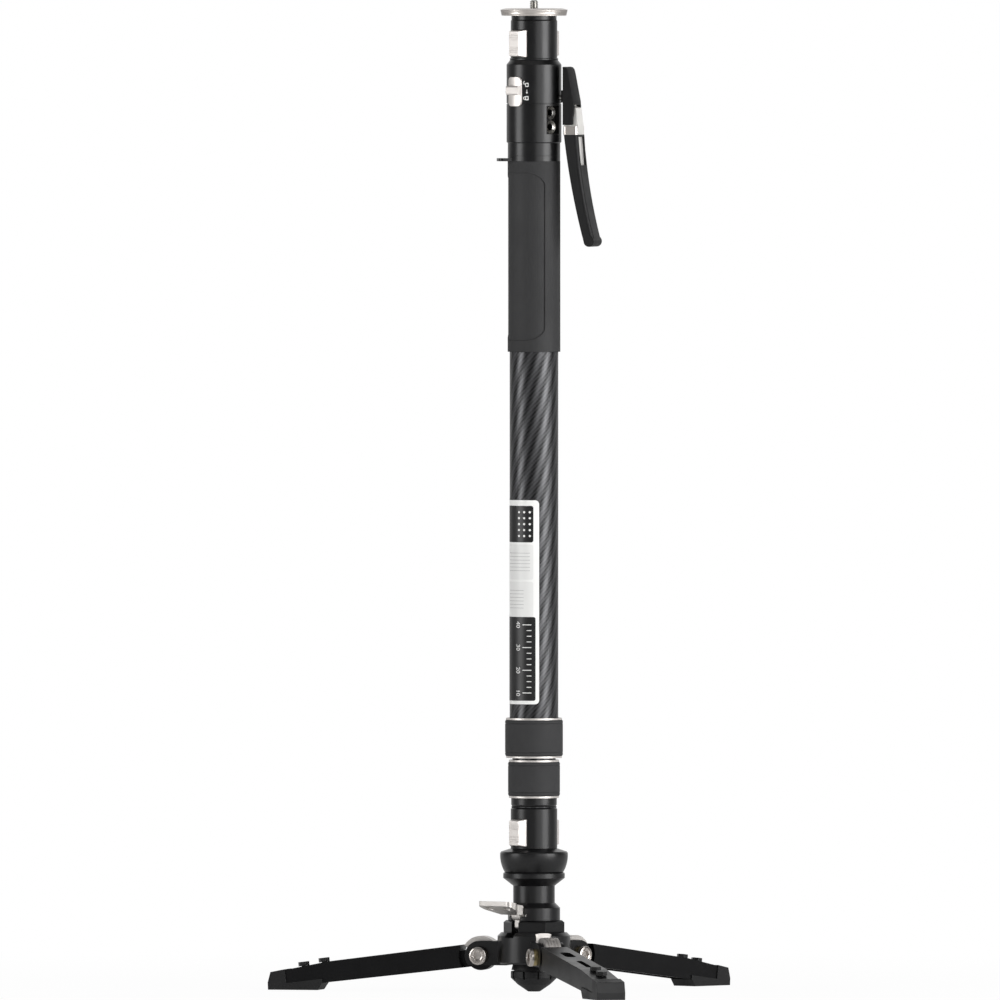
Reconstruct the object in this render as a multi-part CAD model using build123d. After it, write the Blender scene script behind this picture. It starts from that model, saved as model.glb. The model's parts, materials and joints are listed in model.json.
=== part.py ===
from build123d import *
from math import acos, asin, atan, cos, degrees, radians, sin, sqrt, tan
import os

os.makedirs("parts", exist_ok=True)

# Camera monopod with a telescopic carbon mast on a folding three-leg base.
# Millimetres, +Z up. The origin lies on the mast's axis at the ground, and the front,
# which carries the pedal, the slider and the release buttons, faces -Y.

# Clearances and working values
slip = 0.3  # between pieces of different bodies that pass each other
running = 0.05  # radial clearance of a shaft in its hole
glide = 0.08  # radial clearance of a guide bush in the tube round it
overrun = 1.0  # how far a cutting body runs past the face that it cuts

# Base hub
leg_azimuths = {"rear": 90, "front_right": -30, "front_left": -150}
front_azimuth = -90
pivot_radius = 39.3  # mast axis to leg pivot
pivot_height = 26.4
hub_radius = 27.0
hub_bottom = 20.4
hub_height = 23.4
hub_chamfer = 2.6
ear_root_radius = 18.5  # mast axis to the start of the ears under the hub
hub_slot_depth = 3.6  # at the front, under the pedal
ear_rise = 11.0  # top of the ears above the pivot, and their rounding
ear_drop = 7.0  # bottom of the ears below the pivot
ear_outer = 10.0  # half the width across one pair of ears
tongue_half = 5.8  # half the width of the leg's tongue
crown_radius = 14.5  # ridged crown on the leg's tongue, from the pivot

# Pivot bolts
bolt_radius = 3.0
washer_radius = 6.2
washer_thickness = 3.2
bolt_head_radius = 6.6
bolt_head_height = 3.0
bolt_edge_share = 0.8  # of the head's height below its chamfer
bolt_crown_radius = 5.8
bolt_groove_outer = 5.1
bolt_groove_inner = 4.5
bolt_groove_depth = 0.5
socket_radius = 3.3
socket_depth = 2.2

# Legs, along the leg from its pivot
leg_slope = 7.0  # degrees below level when spread
leg_reach = 159.5  # pivot to the end of the metal
leg_top = 9.6  # top face above the pivot line at the root
leg_end_run = 44.5  # the last stretch, where the top slopes down
leg_top_at_bend = 9.0
leg_top_at_end = 5.7
leg_underside = 7.3
leg_underside_at_end = 6.0
leg_wall = 2.2
leg_roof = 3.0
shoulder_radius = 15.6  # the side plates end on this arc round the pivot
tongue_radius = 10.8
crown_start = 38.0
crown_sweep = 104.0
crown_groove_width = 0.8
crown_groove_depth = 0.6
crown_groove_pitch = 2.3
crown_groove_count = 4
crown_groove_sweep = 46.0
oval_place = 48.0
oval_length = 22.0
oval_width = 8.0
slot_place = 91.0
slot_length = 30.0
slot_width = 4.6
rib_spacing = 24.0

# Rubber boots on the leg ends
boot_half = 10.85
boot_length = 38.5  # back from the end of the metal
boot_wrap_length = 11.0
boot_side_height = 3.2  # top edge of the side panels below the pivot line
boot_tip_thickness = 3.0
boot_toe = 0.4  # how far the toe leans out at the ground
boot_nose = 7.0
boot_heel_slope = 4.5
boot_cover = 0.5

# Hexagon studs through the legs above the boots
stud_setbacks = (39.2, 23.5)  # back from the end of the metal
stud_radius = 4.2
stud_height = 3.1
stud_shank_radius = 2.0

# Centre foot
foot_flat_radius = 4.4
foot_cone_radius = 12.0
foot_cone_height = 5.2
foot_belly_radius = 17.2
foot_belly_low = 10.2
foot_belly_high = 14.2
foot_top_radius = 15.6
foot_groove = 0.9
foot_groove_depth = 1.3
foot_notch_count = 10
foot_notch_width = 1.6
foot_notch_depth = 1.5
foot_stud_radius = 4.7
foot_stud_length = 20.0

# Collar and column above the hub
collar_radius = 22.7  # across corners
collar_sides = 6
collar_turn = -24  # azimuth of one corner
collar_height = 9.0
collar_chamfer = 1.6
column_radius = 19.3
column_height = 12.9
column_chamfer = 3.7
column_spigot_radius = 15.9
column_spigot_depth = 10.0
pedal_slot_half = 6.6
pedal_slot_drop = 1.2  # below the pedal's pin
link_slot_half = 4.2

# Foot pedal
pedal_pivot_radius = 16.2  # mast axis to the pedal's pin
pedal_pivot_drop = 9.2  # pin below the top of the column
pedal_pin_radius = 1.5
pedal_pin_bearing = 2.0  # beyond each side of the slot
pedal_hub_radius = 3.9
pedal_hub_half = 3.9
pedal_post_half = 2.2
pedal_post_length = 10.0
pedal_post_thickness = 4.0
pedal_tip_radius = 43.8
pedal_tip_half = 16.0
pedal_neck_half = 6.0
pedal_neck_end = 24.0
pedal_wide_start = 36.0
pedal_corner = 6.0
pedal_top_at_root = 7.6  # above the pin
pedal_top_at_tip = 11.1
pedal_under_at_root = 0.6
pedal_under_knee = 0.8
pedal_knee_radius = 26.5
pedal_under_at_tip = 7.7
pedal_hole_radius = 2.6
pedal_hole_place = 38.0
pedal_hole_offset = 8.8
pedal_swing = 18.0  # degrees that the tip goes down

# Brake inside the column
brake_rod_radius = 3.0
brake_lift = 1.0
brake_arm = 8.0  # pedal pin to the post's push on the wedge
brake_foot_radius = 6.4
brake_foot_height = 9.6
brake_wedge_half = 3.9
brake_wedge_height = 8.0
brake_wedge_tail = 6.0
brake_wedge_flat = 9.0  # in front of the mast's axis, where the slope ends
brake_nut_radius = 5.2
brake_nut_height = 3.0
spring_stack_radius = 6.0
spring_stack_height = 3.4

# Tilt joint
ball_radius = 25.1
ball_centre_above_column = 35.3
ball_seat_radius = 23.6
ball_cavity_radius = 19.0
ball_cavity_top = 1.0  # below the centre
ball_shoulder_height = 1.6  # above the centre
ball_cone_height = 1.0
ball_cone_radius = 24.4
ball_top_radius = 18.0
ball_top_height = 4.7
window_angle = 30.0  # degrees from straight down
seat_step_angle = 57.0
rim_angle = 58.8
dish_inner_angle = 24.0
dish_outer_angle = 42.0
dish_thickness = 1.2
brake_head_radius = 18.7
brake_head_thickness = 3.2
brake_head_angle = 52.0
stem_radius = 15.4
stem_height = 12.6
cup_rim_radius = 22.8
cup_rim_chamfer = 0.7
cup_rim_height = 4.6
cup_cone_height = 4.5
cup_spigot_radius = 11.0
cup_spigot_depth = 3.0
tilt_limit = 14.0

# Quick-release receivers, one at each end of the mast
receiver_radius = 17.2
receiver_height = 30.0
receiver_chamfer = 0.8
receiver_bore = 12.1
plug_radius = 11.8
plug_depth = 17.0
button_half_width = 7.25
button_height = 20.0
button_face_half_width = 4.6
button_face_height = 18.0
button_stand_out = 4.8  # beyond the receiver's side
button_bevel = 5.4
button_skirt = 1.4
button_travel = 1.5
button_corner = 0.5
button_ridge_count = 3
button_ridge_pitch = 1.7
button_ridge_height = 0.8
button_ridge_depth = 0.5
button_band_half = 2.6
lower_button_bottom = 1.6  # above the receiver's lower end
upper_button_bottom = 2.4
spindle_radius = 7.0
spindle_height = 6.3

# Lower end fitting of the mast
fitting_height = 7.1
fitting_radius = 16.9
fitting_neck_radius = 16.2
fitting_groove = 1.2
fitting_insert_length = 22.0

# Telescopic tubes
upper_tube_radius = 18.0
middle_tube_radius = 16.0
lower_tube_radius = 14.0
tube_wall = 1.2
tube_travel = 380.0
bush_length = 20.0
lower_tube_length = 446.0
middle_tube_top_rise = 10.0  # middle tube ends this far above the lower one
upper_tube_top_rise = 33.0

# Twist-lock collars
ring_height = 1.4
collar_seam = 1.5  # between the two closed collars
lower_grip_radius = 19.2
lower_grip_height = 25.3
upper_grip_radius = 21.4
upper_grip_height = 26.8
sleeve_wall = 0.5
grip_thickness = 1.4
end_wall = 2.6
wedge_height = 10.0
wedge_lip = 0.9
wedge_taper = 1.0
ferrule_rise = 7.5  # clear of the collar's end wall
ferrule_wall = 1.0
ferrule_thread = 0.3
grip_edge = 1.2
grip_line_width = 0.5
grip_line_depth = 0.3
grip_line_place = 2.4  # from each end of the rubber

# Hand grip, strap ring and handle body
grip_sleeve_radius = 19.5
grip_sleeve_length = 141.0
grip_panel_margin = 8.5
grip_panel_half_angle = 67.0
grip_panel_depth = 0.4
grip_panel_corner = 9.0
strap_ring_height = 4.1
strap_ring_radius = 19.4
strap_tab_azimuth = -126
strap_tab_reach = 27.3
strap_tab_half = 7.0
strap_tab_thickness = 2.2
strap_tab_corner = 3.0
strap_slot_half = 4.0
strap_slot_width = 2.6
strap_slot_margin = 1.8
step_height = 10.0
step_radius = 19.4
handle_radius = 20.3
handle_height = 28.8
handle_socket = 13.4
cap_height = 31.8
cap_chamfer = 3.2
cap_top_radius = 17.8
seam_height = 0.6
seam_depth = 0.6

# Accessory port in the handle body
port_half_width = 6.6
port_height = 20.8
port_drop = 1.9  # its top below the seam
port_floor = 17.2
port_hole_radius = 2.6
port_hole_depth = 7.0
port_hole_spacing = 10.6
port_countersink = 2.3
port_countersink_depth = 1.0

# Slider on the cap
slider_half = 6.3
slider_height = 21.5
slider_below_seam = 2.1
slider_thickness = 1.3
slider_corner = 3.2
slider_tab_half = 5.9
slider_tab_height = 6.6
slider_tab_reach = 24.2
slider_stem_half = 2.0
slider_stem_height = 6.0
slider_stem_depth = 6.0
slider_travel = 5.0

# Lever on the cap
lever_azimuth = 25
lever_pivot_radius = 29.5
lever_pivot_drop = 3.4  # below the seam
lever_pin_radius = 1.5
housing_half = 9.0
housing_slot_half = 6.6
housing_inner = 25.3
housing_wall = 1.6
housing_top_rise = 27.0  # above the seam
housing_top_depth = 2.4
housing_nose_radius = 34.0
housing_nose_drop = 1.2
housing_heel_radius = 28.4
housing_heel_drop = 9.2
housing_bottom_drop = 16.0
housing_bottom_radius = 28.0
housing_roof = 8.0  # the slot's top above the seam
housing_corner = 1.8
housing_foot_half = 5.5
housing_foot_low = 0.6
housing_foot_high = 9.6
lever_swing = 9.0
arm_half = 6.3
arm_nose_rise = 9.0  # above the lever's pivot
arm_nose_inset = 2.1  # from the pivot to the nose's inner face
arm_nose_depth = 1.5
arm_waist_depth = 3.5  # nose's inner face to the outer side at the housing's rim
arm_waist_rise = 2.8
arm_band_drop = 13.6
arm_band_height = 6.2
arm_band_inner = 25.4
arm_band_depth = 11.2
arm_elbow_setback = 1.6
arm_elbow_drop = 0.1
arm_tongue_half = 7.4
arm_tongue_length = 24.5
arm_tongue_inner = (28.9, 31.9)
arm_tongue_outer = (35.2, 37.0)
grip_half = 9.4
grip_end_drop = 102.6
grip_inner_places = ((26.4, 0.0), (31.7, 0.425), (41.8, 0.955))
grip_outer_places = ((36.8, 0.0), (40.6, 0.425), (49.4, 0.93))
grip_round = 2.4
window_half = 6.4
window_top = 1.6
window_length = 21.0

# Lock pin behind the lever
lock_pin_radius = 2.0
lock_pin_inner = 12.5
lock_pin_head_radius = 2.6
lock_pin_head_height = 1.3

# Head plate and camera stud
head_neck_radius = 16.7
head_neck_height = 3.0
head_plate_radius = 24.9
head_plate_lower_radius = 23.9
head_plate_height = 5.3
head_plate_shoulder_radius = 21.4
head_plate_shoulder_height = 1.0
stud_thread_radius = 3.175
stud_neck_radius = 2.8
stud_relief_radius = 3.7  # shallow ring in the plate round the stud
stud_relief_depth = 1.0
stud_stand = 6.0
stud_foot_radius = 4.76
stud_foot_height = 9.0
stud_slot_width = 1.2
stud_slot_depth = 1.4
stud_tip_chamfer = 0.6

# Heights worked out from the ground up
hub_top = hub_bottom + hub_height
collar_top = hub_top + collar_height
column_top = collar_top + column_height
pedal_pivot_height = column_top - pedal_pivot_drop
ball_centre = column_top + ball_centre_above_column
ball_top = ball_centre + ball_top_height
lower_receiver_bottom = ball_top + slip
lower_receiver_top = lower_receiver_bottom + receiver_height
fitting_top = lower_receiver_top + fitting_height
lower_collar_bottom = fitting_top + slip
lower_collar_top = lower_collar_bottom + ring_height + lower_grip_height + ring_height
upper_collar_bottom = lower_collar_top + collar_seam
upper_collar_top = upper_collar_bottom + ring_height + upper_grip_height + ring_height
lower_tube_top = fitting_top + lower_tube_length
middle_tube_top = lower_tube_top + middle_tube_top_rise
upper_tube_top = middle_tube_top + upper_tube_top_rise
handle_bottom = upper_tube_top - handle_socket
strap_ring_bottom = handle_bottom - strap_ring_height
grip_sleeve_bottom = strap_ring_bottom - grip_sleeve_length
step_top = handle_bottom + step_height
seam = step_top + handle_height
cap_top = seam + cap_height
upper_receiver_top = cap_top + receiver_height
head_plate_bottom = upper_receiver_top + head_neck_height
head_plate_top = head_plate_bottom + head_plate_height
stud_top = head_plate_top + stud_stand


def turned(points):
    """A solid turned about the mast's axis from (radius, height) points."""
    return revolve(make_face(Plane.XZ * Polyline(*points, close=True)), Axis.Z)


def turned_curve(curve):
    """A solid turned about the mast's axis from a closed chain of lines and arcs."""
    return revolve(make_face(Plane.XZ * curve), Axis.Z)


def tube(outer, inner, low, high):
    """A plain ring about the mast's axis."""
    return turned([(inner, low), (outer, low), (outer, high), (inner, high)])


def rod(radius, low, high):
    """A plain round bar on the mast's axis."""
    return turned([(0, low), (radius, low), (radius, high), (0, high)])


def block(xs, ys, zs):
    """A box between two corners, given as pairs along X, Y and Z."""
    middle = Pos(sum(xs) / 2, sum(ys) / 2, sum(zs) / 2)
    return middle * Box(xs[1] - xs[0], ys[1] - ys[0], zs[1] - zs[0])


def bar_along_x(radius, half, y, z):
    """A round bar along X, centred on x = 0."""
    return Pos(0, y, z) * Rot(Y=90) * Cylinder(radius, 2 * half)


def bar_along_y(radius, half, x, z):
    """A round bar along Y, centred on y = 0."""
    return Pos(x, 0, z) * Rot(X=90) * Cylinder(radius, 2 * half)


def side_plate(points, half):
    """A plate standing in the XZ plane, as thick as twice half, about y = 0."""
    return extrude(make_face(Plane.XZ * Polyline(*points, close=True)), half, both=True)


def on_sphere(radius, angle):
    """The (radius, height) point at an angle from straight down, about the tilt centre."""
    return radius * sin(radians(angle)), ball_centre - radius * cos(radians(angle))


def sphere_arc(radius, first, last):
    """An arc about the tilt centre between two angles from straight down."""
    angles = (first, (first + last) / 2, last)
    return ThreePointArc(*[on_sphere(radius, angle) for angle in angles])


def at_leg(shape, name):
    """Put a shape drawn along a leg, from its pivot, in place on the spread base."""
    tipped = Rot(Y=leg_slope) * shape
    return Rot(Z=leg_azimuths[name]) * Pos(pivot_radius, 0, pivot_height) * tipped


def at_pivots(shape):
    """Three copies of a shape drawn about a leg's pivot."""
    move = Pos(pivot_radius, 0, pivot_height)
    return [Rot(Z=azimuth) * move * shape for azimuth in leg_azimuths.values()]


# The hub and what is fixed to it

def hub_ears():
    """One pair of ears with the slot between them, as a solid and a cut."""
    inner = tongue_half + slip
    root = pivot_radius - ear_root_radius
    plate = side_plate(
        [(-root, -ear_drop), (0, -ear_drop), (0, ear_rise), (-root, ear_rise)], ear_outer
    )
    rounding = bar_along_y(ear_rise, ear_outer, 0, 0)
    low = block((-ear_rise, ear_rise), (-ear_outer, ear_outer), (-ear_rise, -ear_drop))
    ears = plate + (rounding - low)
    hollow = crown_radius + slip + running
    cut = block((-hollow, hollow), (-inner, inner), (-pivot_height, hub_height))
    return ears, cut, bar_along_y(bolt_radius + running, ear_outer + overrun, 0, 0)


def make_hub_body():
    edge = hub_chamfer
    body = turned(
        [
            (0, hub_bottom),
            (hub_radius - edge / 2, hub_bottom),
            (hub_radius, hub_bottom + edge / 2),
            (hub_radius, hub_top - edge),
            (hub_radius - edge, hub_top),
            (0, hub_top),
        ]
    )
    ears, cut, bore = hub_ears()
    for ear in at_pivots(ears):
        body += ear
    for tool in at_pivots(cut) + at_pivots(bore):
        body -= tool
    body -= rod(column_spigot_radius, hub_top - column_spigot_depth, hub_top + overrun)
    body -= rod(foot_stud_radius, hub_bottom - overrun, hub_bottom + foot_stud_length / 2)
    return body - link_slot(hub_top - hub_slot_depth, hub_top + overrun)


def link_slot(low, high):
    """The slot at the front that the pedal's post hangs in."""
    return block((-link_slot_half, link_slot_half), (-hub_radius, 0), (low, high))


def make_pivot_bolts():
    head_start = ear_outer + washer_thickness
    top = head_start + bolt_head_height
    shank = bar_along_y(bolt_radius, head_start, 0, 0)
    profile = Polyline(
        (0, head_start),
        (bolt_head_radius, head_start),
        (bolt_head_radius, head_start + bolt_head_height * bolt_edge_share),
        (bolt_crown_radius, top),
        (bolt_groove_outer, top),
        (bolt_groove_outer, top - bolt_groove_depth),
        (bolt_groove_inner, top - bolt_groove_depth),
        (bolt_groove_inner, top),
        (0, top),
        close=True,
    )
    head = revolve(make_face(profile), Axis.Y)
    flats = Plane.XZ.offset(-top) * RegularPolygon(socket_radius, 6)
    head -= extrude(flats, socket_depth)
    bolt = shank + head + mirror(head, Plane.XZ)
    return at_pivots(bolt)


def make_pivot_washers():
    washer = bar_along_y(washer_radius, washer_thickness / 2, 0, 0)
    washer -= bar_along_y(bolt_radius, washer_thickness, 0, 0)
    near = Pos(0, ear_outer + washer_thickness / 2, 0) * washer
    far = Pos(0, -ear_outer - washer_thickness / 2, 0) * washer
    return at_pivots(near) + at_pivots(far)


def make_centre_foot():
    top = hub_bottom
    belly = (foot_belly_high + foot_belly_low) / 2
    foot = turned(
        [
            (0, 0),
            (foot_flat_radius, 0),
            (foot_cone_radius, foot_cone_height),
            (foot_belly_radius, foot_belly_low),
            (foot_belly_radius, foot_belly_high),
            (foot_top_radius, top),
            (0, top),
        ]
    )
    for height in (belly - foot_cone_height, foot_belly_high + foot_groove):
        foot -= tube(
            foot_belly_radius + overrun,
            foot_top_radius - foot_groove_depth / 2,
            height,
            height + foot_groove,
        )
    for index in range(foot_notch_count):
        notch = block(
            (foot_belly_radius - foot_notch_depth, foot_belly_radius + overrun),
            (-foot_notch_width / 2, foot_notch_width / 2),
            (foot_cone_height, foot_belly_high + foot_groove),
        )
        foot -= Rot(Z=360 * index / foot_notch_count) * notch
    return foot - rod(foot_stud_radius, top - foot_stud_length / 2, top + overrun)


def make_foot_stud():
    return rod(
        foot_stud_radius,
        hub_bottom - foot_stud_length / 2,
        hub_bottom + foot_stud_length / 2,
    )


def make_hub_collar():
    outline = RegularPolygon(collar_radius, collar_sides, rotation=collar_turn)
    collar = Pos(0, 0, hub_top) * extrude(outline, collar_height)
    collar = chamfer(collar.faces().sort_by(Axis.Z)[-1].edges(), collar_chamfer)
    collar -= rod(column_spigot_radius, hub_top - overrun, collar_top + overrun)
    return collar - link_slot(hub_top - overrun, collar_top + overrun)


def brake_ramp():
    """The slope of the wedge and of the rod's foot, as rise over run."""
    return brake_lift / (brake_arm * radians(pedal_swing))


def brake_foot_bottom():
    """Height of the sloping joint between wedge and foot on the mast's axis."""
    return pedal_pivot_height - brake_arm + running


def make_column_body():
    spigot_bottom = hub_top - column_spigot_depth
    body = turned(
        [
            (0, spigot_bottom),
            (column_spigot_radius, spigot_bottom),
            (column_spigot_radius, collar_top),
            (column_radius, collar_top),
            (column_radius, column_top - column_chamfer),
            (column_radius - column_chamfer, column_top),
            (0, column_top),
        ]
    )
    pocket_top = brake_foot_bottom() + brake_foot_height + brake_lift + slip
    body -= rod(brake_foot_radius + slip, spigot_bottom + slip, pocket_top)
    body -= rod(spring_stack_radius + slip, pocket_top - overrun, column_top - cup_spigot_depth)
    body -= rod(cup_spigot_radius, column_top - cup_spigot_depth, column_top + overrun)
    wedge_floor = brake_foot_bottom() - brake_wedge_height
    wedge_roof = brake_foot_bottom() + brake_wedge_flat * brake_ramp() + slip
    half = brake_wedge_half + running
    body -= block((-half, half), (-hub_radius, hub_radius / 2), (wedge_floor, wedge_roof))
    slot_floor = pedal_pivot_height - pedal_post_length - slip - overrun
    body -= block(
        (-link_slot_half, link_slot_half),
        (-hub_radius, -pedal_pivot_radius + pedal_hub_radius + slip),
        (slot_floor, column_top + overrun),
    )
    body -= block(
        (-pedal_slot_half, pedal_slot_half),
        (-hub_radius, -pedal_pivot_radius + pedal_hub_radius + slip),
        (pedal_pivot_height - pedal_slot_drop, column_top + overrun),
    )
    return body - bar_along_x(
        pedal_pin_radius,
        pedal_slot_half + pedal_pin_bearing + slip,
        -pedal_pivot_radius,
        pedal_pivot_height,
    )


def make_pedal_pin():
    half = pedal_slot_half + pedal_pin_bearing
    return bar_along_x(pedal_pin_radius, half, -pedal_pivot_radius, pedal_pivot_height)


def make_spring_stack():
    top = column_top - cup_spigot_depth
    inner = brake_rod_radius + slip
    stack = None
    for step in range(4):
        low = top - spring_stack_height * (step + 1) / 4
        rise = spring_stack_height / 4
        first, last = (inner, spring_stack_radius) if step % 2 else (spring_stack_radius, inner)
        washer = turned(
            [(first, low), (last, low + rise / 2), (last, low + rise), (first, low + rise / 2)]
        )
        stack = washer if stack is None else stack + washer
    return stack


def make_tilt_cup():
    stem_top = column_top + stem_height
    rim = ball_centre - ball_radius * cos(radians(rim_angle))
    inner = ball_radius + slip
    rim_inner = sqrt(inner**2 - (ball_centre - rim) ** 2)
    bowl = sphere_arc(inner, 0, degrees(asin(rim_inner / inner)))
    outside = Polyline(
        (rim_inner, rim),
        (cup_rim_radius - cup_rim_chamfer / 2, rim),
        (cup_rim_radius, rim - cup_rim_chamfer),
        (cup_rim_radius, rim - cup_rim_height + cup_rim_chamfer),
        (stem_radius, stem_top),
        (stem_radius, column_top),
        (cup_spigot_radius, column_top),
        (cup_spigot_radius, column_top - cup_spigot_depth),
        (0, column_top - cup_spigot_depth),
        on_sphere(inner, 0),
    )
    cup = turned_curve(bowl + outside)
    bore = brake_rod_radius + running
    cup -= rod(bore, column_top - cup_spigot_depth - overrun, ball_centre)
    slot = block(
        (-pedal_slot_half, pedal_slot_half),
        (-hub_radius, -pedal_pivot_radius + pedal_hub_radius + slip),
        (column_top - cup_spigot_depth - overrun, column_top),
    )
    return cup - slot


def make_brake_rod():
    bottom = brake_foot_bottom()
    foot = rod(brake_foot_radius, bottom - brake_foot_radius, bottom + brake_foot_height)
    reach = brake_foot_radius + overrun
    drop = reach * brake_ramp()
    ramp = extrude(
        make_face(
            Plane.YZ
            * Polyline(
                (-reach, bottom + drop),
                (reach, bottom - drop),
                (reach, bottom - 2 * brake_foot_radius),
                (-reach, bottom - 2 * brake_foot_radius),
                close=True,
            )
        ),
        reach,
        both=True,
    )
    return foot - ramp + rod(brake_rod_radius, bottom + brake_foot_height, brake_nut_top())


def brake_nut_top():
    """Height of the nut's top, on the inside of the brake head."""
    inner = brake_head_radius - brake_head_thickness
    return ball_centre - inner + brake_nut_height


def make_brake_wedge():
    top = brake_foot_bottom() - running
    bottom = brake_foot_bottom() - brake_wedge_height + running
    outer = -pedal_pivot_radius + pedal_post_thickness / 2 + slip
    ramp = brake_ramp()
    profile = Polyline(
        (outer, bottom),
        (brake_wedge_tail, bottom),
        (brake_wedge_tail, top - brake_wedge_tail * ramp),
        (-brake_wedge_flat, top + brake_wedge_flat * ramp),
        (outer, top + brake_wedge_flat * ramp),
        close=True,
    )
    return extrude(make_face(Plane.YZ * profile), brake_wedge_half, both=True)


def make_brake_head():
    inner = brake_head_radius - brake_head_thickness
    bore = brake_rod_radius
    curve = sphere_arc(brake_head_radius, 0, brake_head_angle)
    curve += Line(on_sphere(brake_head_radius, brake_head_angle), on_sphere(inner, brake_head_angle))
    curve += sphere_arc(inner, brake_head_angle, 0)
    curve += Line(on_sphere(inner, 0), on_sphere(brake_head_radius, 0))
    head = turned_curve(curve)
    low = ball_centre - inner - running
    nut = Pos(0, 0, low) * extrude(RegularPolygon(brake_nut_radius, 6), brake_nut_height)
    return head + nut - rod(bore, low - brake_head_thickness, ball_centre)


def make_friction_dish():
    outer = ball_radius
    inner = ball_radius - dish_thickness
    curve = sphere_arc(outer, dish_inner_angle, dish_outer_angle)
    curve += Line(on_sphere(outer, dish_outer_angle), on_sphere(inner, dish_outer_angle))
    curve += sphere_arc(inner, dish_outer_angle, dish_inner_angle)
    curve += Line(on_sphere(inner, dish_inner_angle), on_sphere(outer, dish_inner_angle))
    return turned_curve(curve)


def make_half_ball():
    seat = ball_seat_radius
    cavity = ball_cavity_radius
    cavity_angle = degrees(acos(ball_cavity_top / cavity))
    shoulder_angle = 90 + degrees(asin(ball_shoulder_height / ball_radius))
    shoulder = on_sphere(ball_radius, shoulder_angle)
    curve = sphere_arc(cavity, cavity_angle, window_angle)
    curve += Line(on_sphere(cavity, window_angle), on_sphere(seat, window_angle))
    curve += sphere_arc(seat, window_angle, seat_step_angle)
    curve += Line(on_sphere(seat, seat_step_angle), on_sphere(ball_radius, seat_step_angle))
    curve += sphere_arc(ball_radius, seat_step_angle, shoulder_angle)
    curve += Polyline(
        shoulder,
        (ball_cone_radius, shoulder[1] + ball_cone_height),
        (ball_top_radius, ball_top),
        (spindle_radius, ball_top),
        (spindle_radius, ball_top + spindle_height),
        (0, ball_top + spindle_height),
        (0, ball_centre - ball_cavity_top),
        on_sphere(cavity, cavity_angle),
    )
    return turned_curve(curve)


# Pedal

def make_foot_pedal():
    pin = pedal_pivot_height
    y_pin = -pedal_pivot_radius
    root = -pedal_pivot_radius - pedal_hub_radius / 2
    side = Polyline(
        (y_pin, pin + pedal_under_at_root),
        (-pedal_knee_radius, pin + pedal_under_knee),
        (-pedal_tip_radius, pin + pedal_under_at_tip),
        (-pedal_tip_radius, pin + pedal_top_at_tip),
        (root, pin + pedal_top_at_root),
        (y_pin, pin + pedal_hub_radius / 2),
        close=True,
    )
    paddle = extrude(make_face(Plane.YZ * side), pedal_tip_half, both=True)
    outline = Polyline(
        (-pedal_neck_half, 0),
        (-pedal_neck_half, -pedal_neck_end),
        (-pedal_tip_half, -pedal_wide_start),
        (-pedal_tip_half, -pedal_tip_radius),
        (pedal_tip_half, -pedal_tip_radius),
        (pedal_tip_half, -pedal_wide_start),
        (pedal_neck_half, -pedal_neck_end),
        (pedal_neck_half, 0),
        close=True,
    )
    face = make_face(outline)
    tips = face.vertices().sort_by(Axis.Y)[:4]
    face = fillet(tips, pedal_corner / 2)
    plan = Pos(0, 0, pin - pedal_post_length) * extrude(face, column_radius + pedal_post_length)
    paddle = paddle & plan
    for sign in (-1, 1):
        hole = Pos(sign * pedal_hole_offset, -pedal_hole_place, pin)
        paddle -= hole * Cylinder(pedal_hole_radius, 2 * column_radius)
    hub = bar_along_x(pedal_hub_radius, pedal_hub_half, y_pin, pin)
    half = pedal_post_thickness / 2
    end = pin - pedal_post_length + half
    post = block((-pedal_post_half, pedal_post_half), (y_pin - half, y_pin + half), (end, pin))
    post += bar_along_x(half, pedal_post_half, y_pin, end)
    pedal = hub + post + paddle
    return pedal - bar_along_x(pedal_pin_radius + running, column_radius, y_pin, pin)


# Legs

def leg_outline():
    """Side view of the metal of one leg, from inside its shoulder arc to its end."""
    start = tongue_radius
    return [
        (start, -leg_underside),
        (leg_reach, -leg_underside_at_end),
        (leg_reach, leg_top_at_end),
        (leg_reach - leg_end_run, leg_top_at_bend),
        (start, leg_top),
    ]


def make_leg_arm(name):
    beam = side_plate(leg_outline(), ear_outer)
    roof_drop = leg_roof + running
    floor = leg_underside + leg_underside_at_end
    channel_half = ear_outer - leg_wall
    channel_start = shoulder_radius + leg_wall
    channel_end = leg_reach - boot_wrap_length
    beam -= side_plate(
        [
            (channel_start, -floor),
            (channel_end, -floor),
            (channel_end, leg_top_at_end - roof_drop),
            (leg_reach - leg_end_run, leg_top_at_bend - roof_drop),
            (channel_start, leg_top - roof_drop),
        ],
        channel_half,
    )
    count = int((channel_end - channel_start) / rib_spacing)
    for index in range(1, count + 1):
        place = channel_start + index * (channel_end - channel_start) / (count + 1)
        beam += block(
            (place, place + leg_wall / 2),
            (-channel_half, channel_half),
            (-boot_side_height, leg_top_at_end - leg_roof / 2),
        )
    beam -= bar_along_y(shoulder_radius, ear_outer + overrun, 0, 0)
    tongue = bar_along_y(tongue_radius, tongue_half, 0, 0)
    tongue += block(
        (0, shoulder_radius + leg_wall / 2),
        (-tongue_half, tongue_half),
        (-leg_underside, tongue_radius / 2),
    )
    arm = beam + tongue
    for place, length, width in (
        (oval_place, oval_length, oval_width),
        (slot_place, slot_length, slot_width),
    ):
        arm -= Pos(place, 0, 0) * extrude(SlotOverall(length, width), leg_top + overrun)
    for setback in stud_setbacks:
        arm -= Pos(leg_reach - setback, 0, 0) * Cylinder(stud_shank_radius, 2 * leg_top)
    return at_leg(arm - bar_along_y(bolt_radius + running, ear_outer, 0, 0), name)


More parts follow.
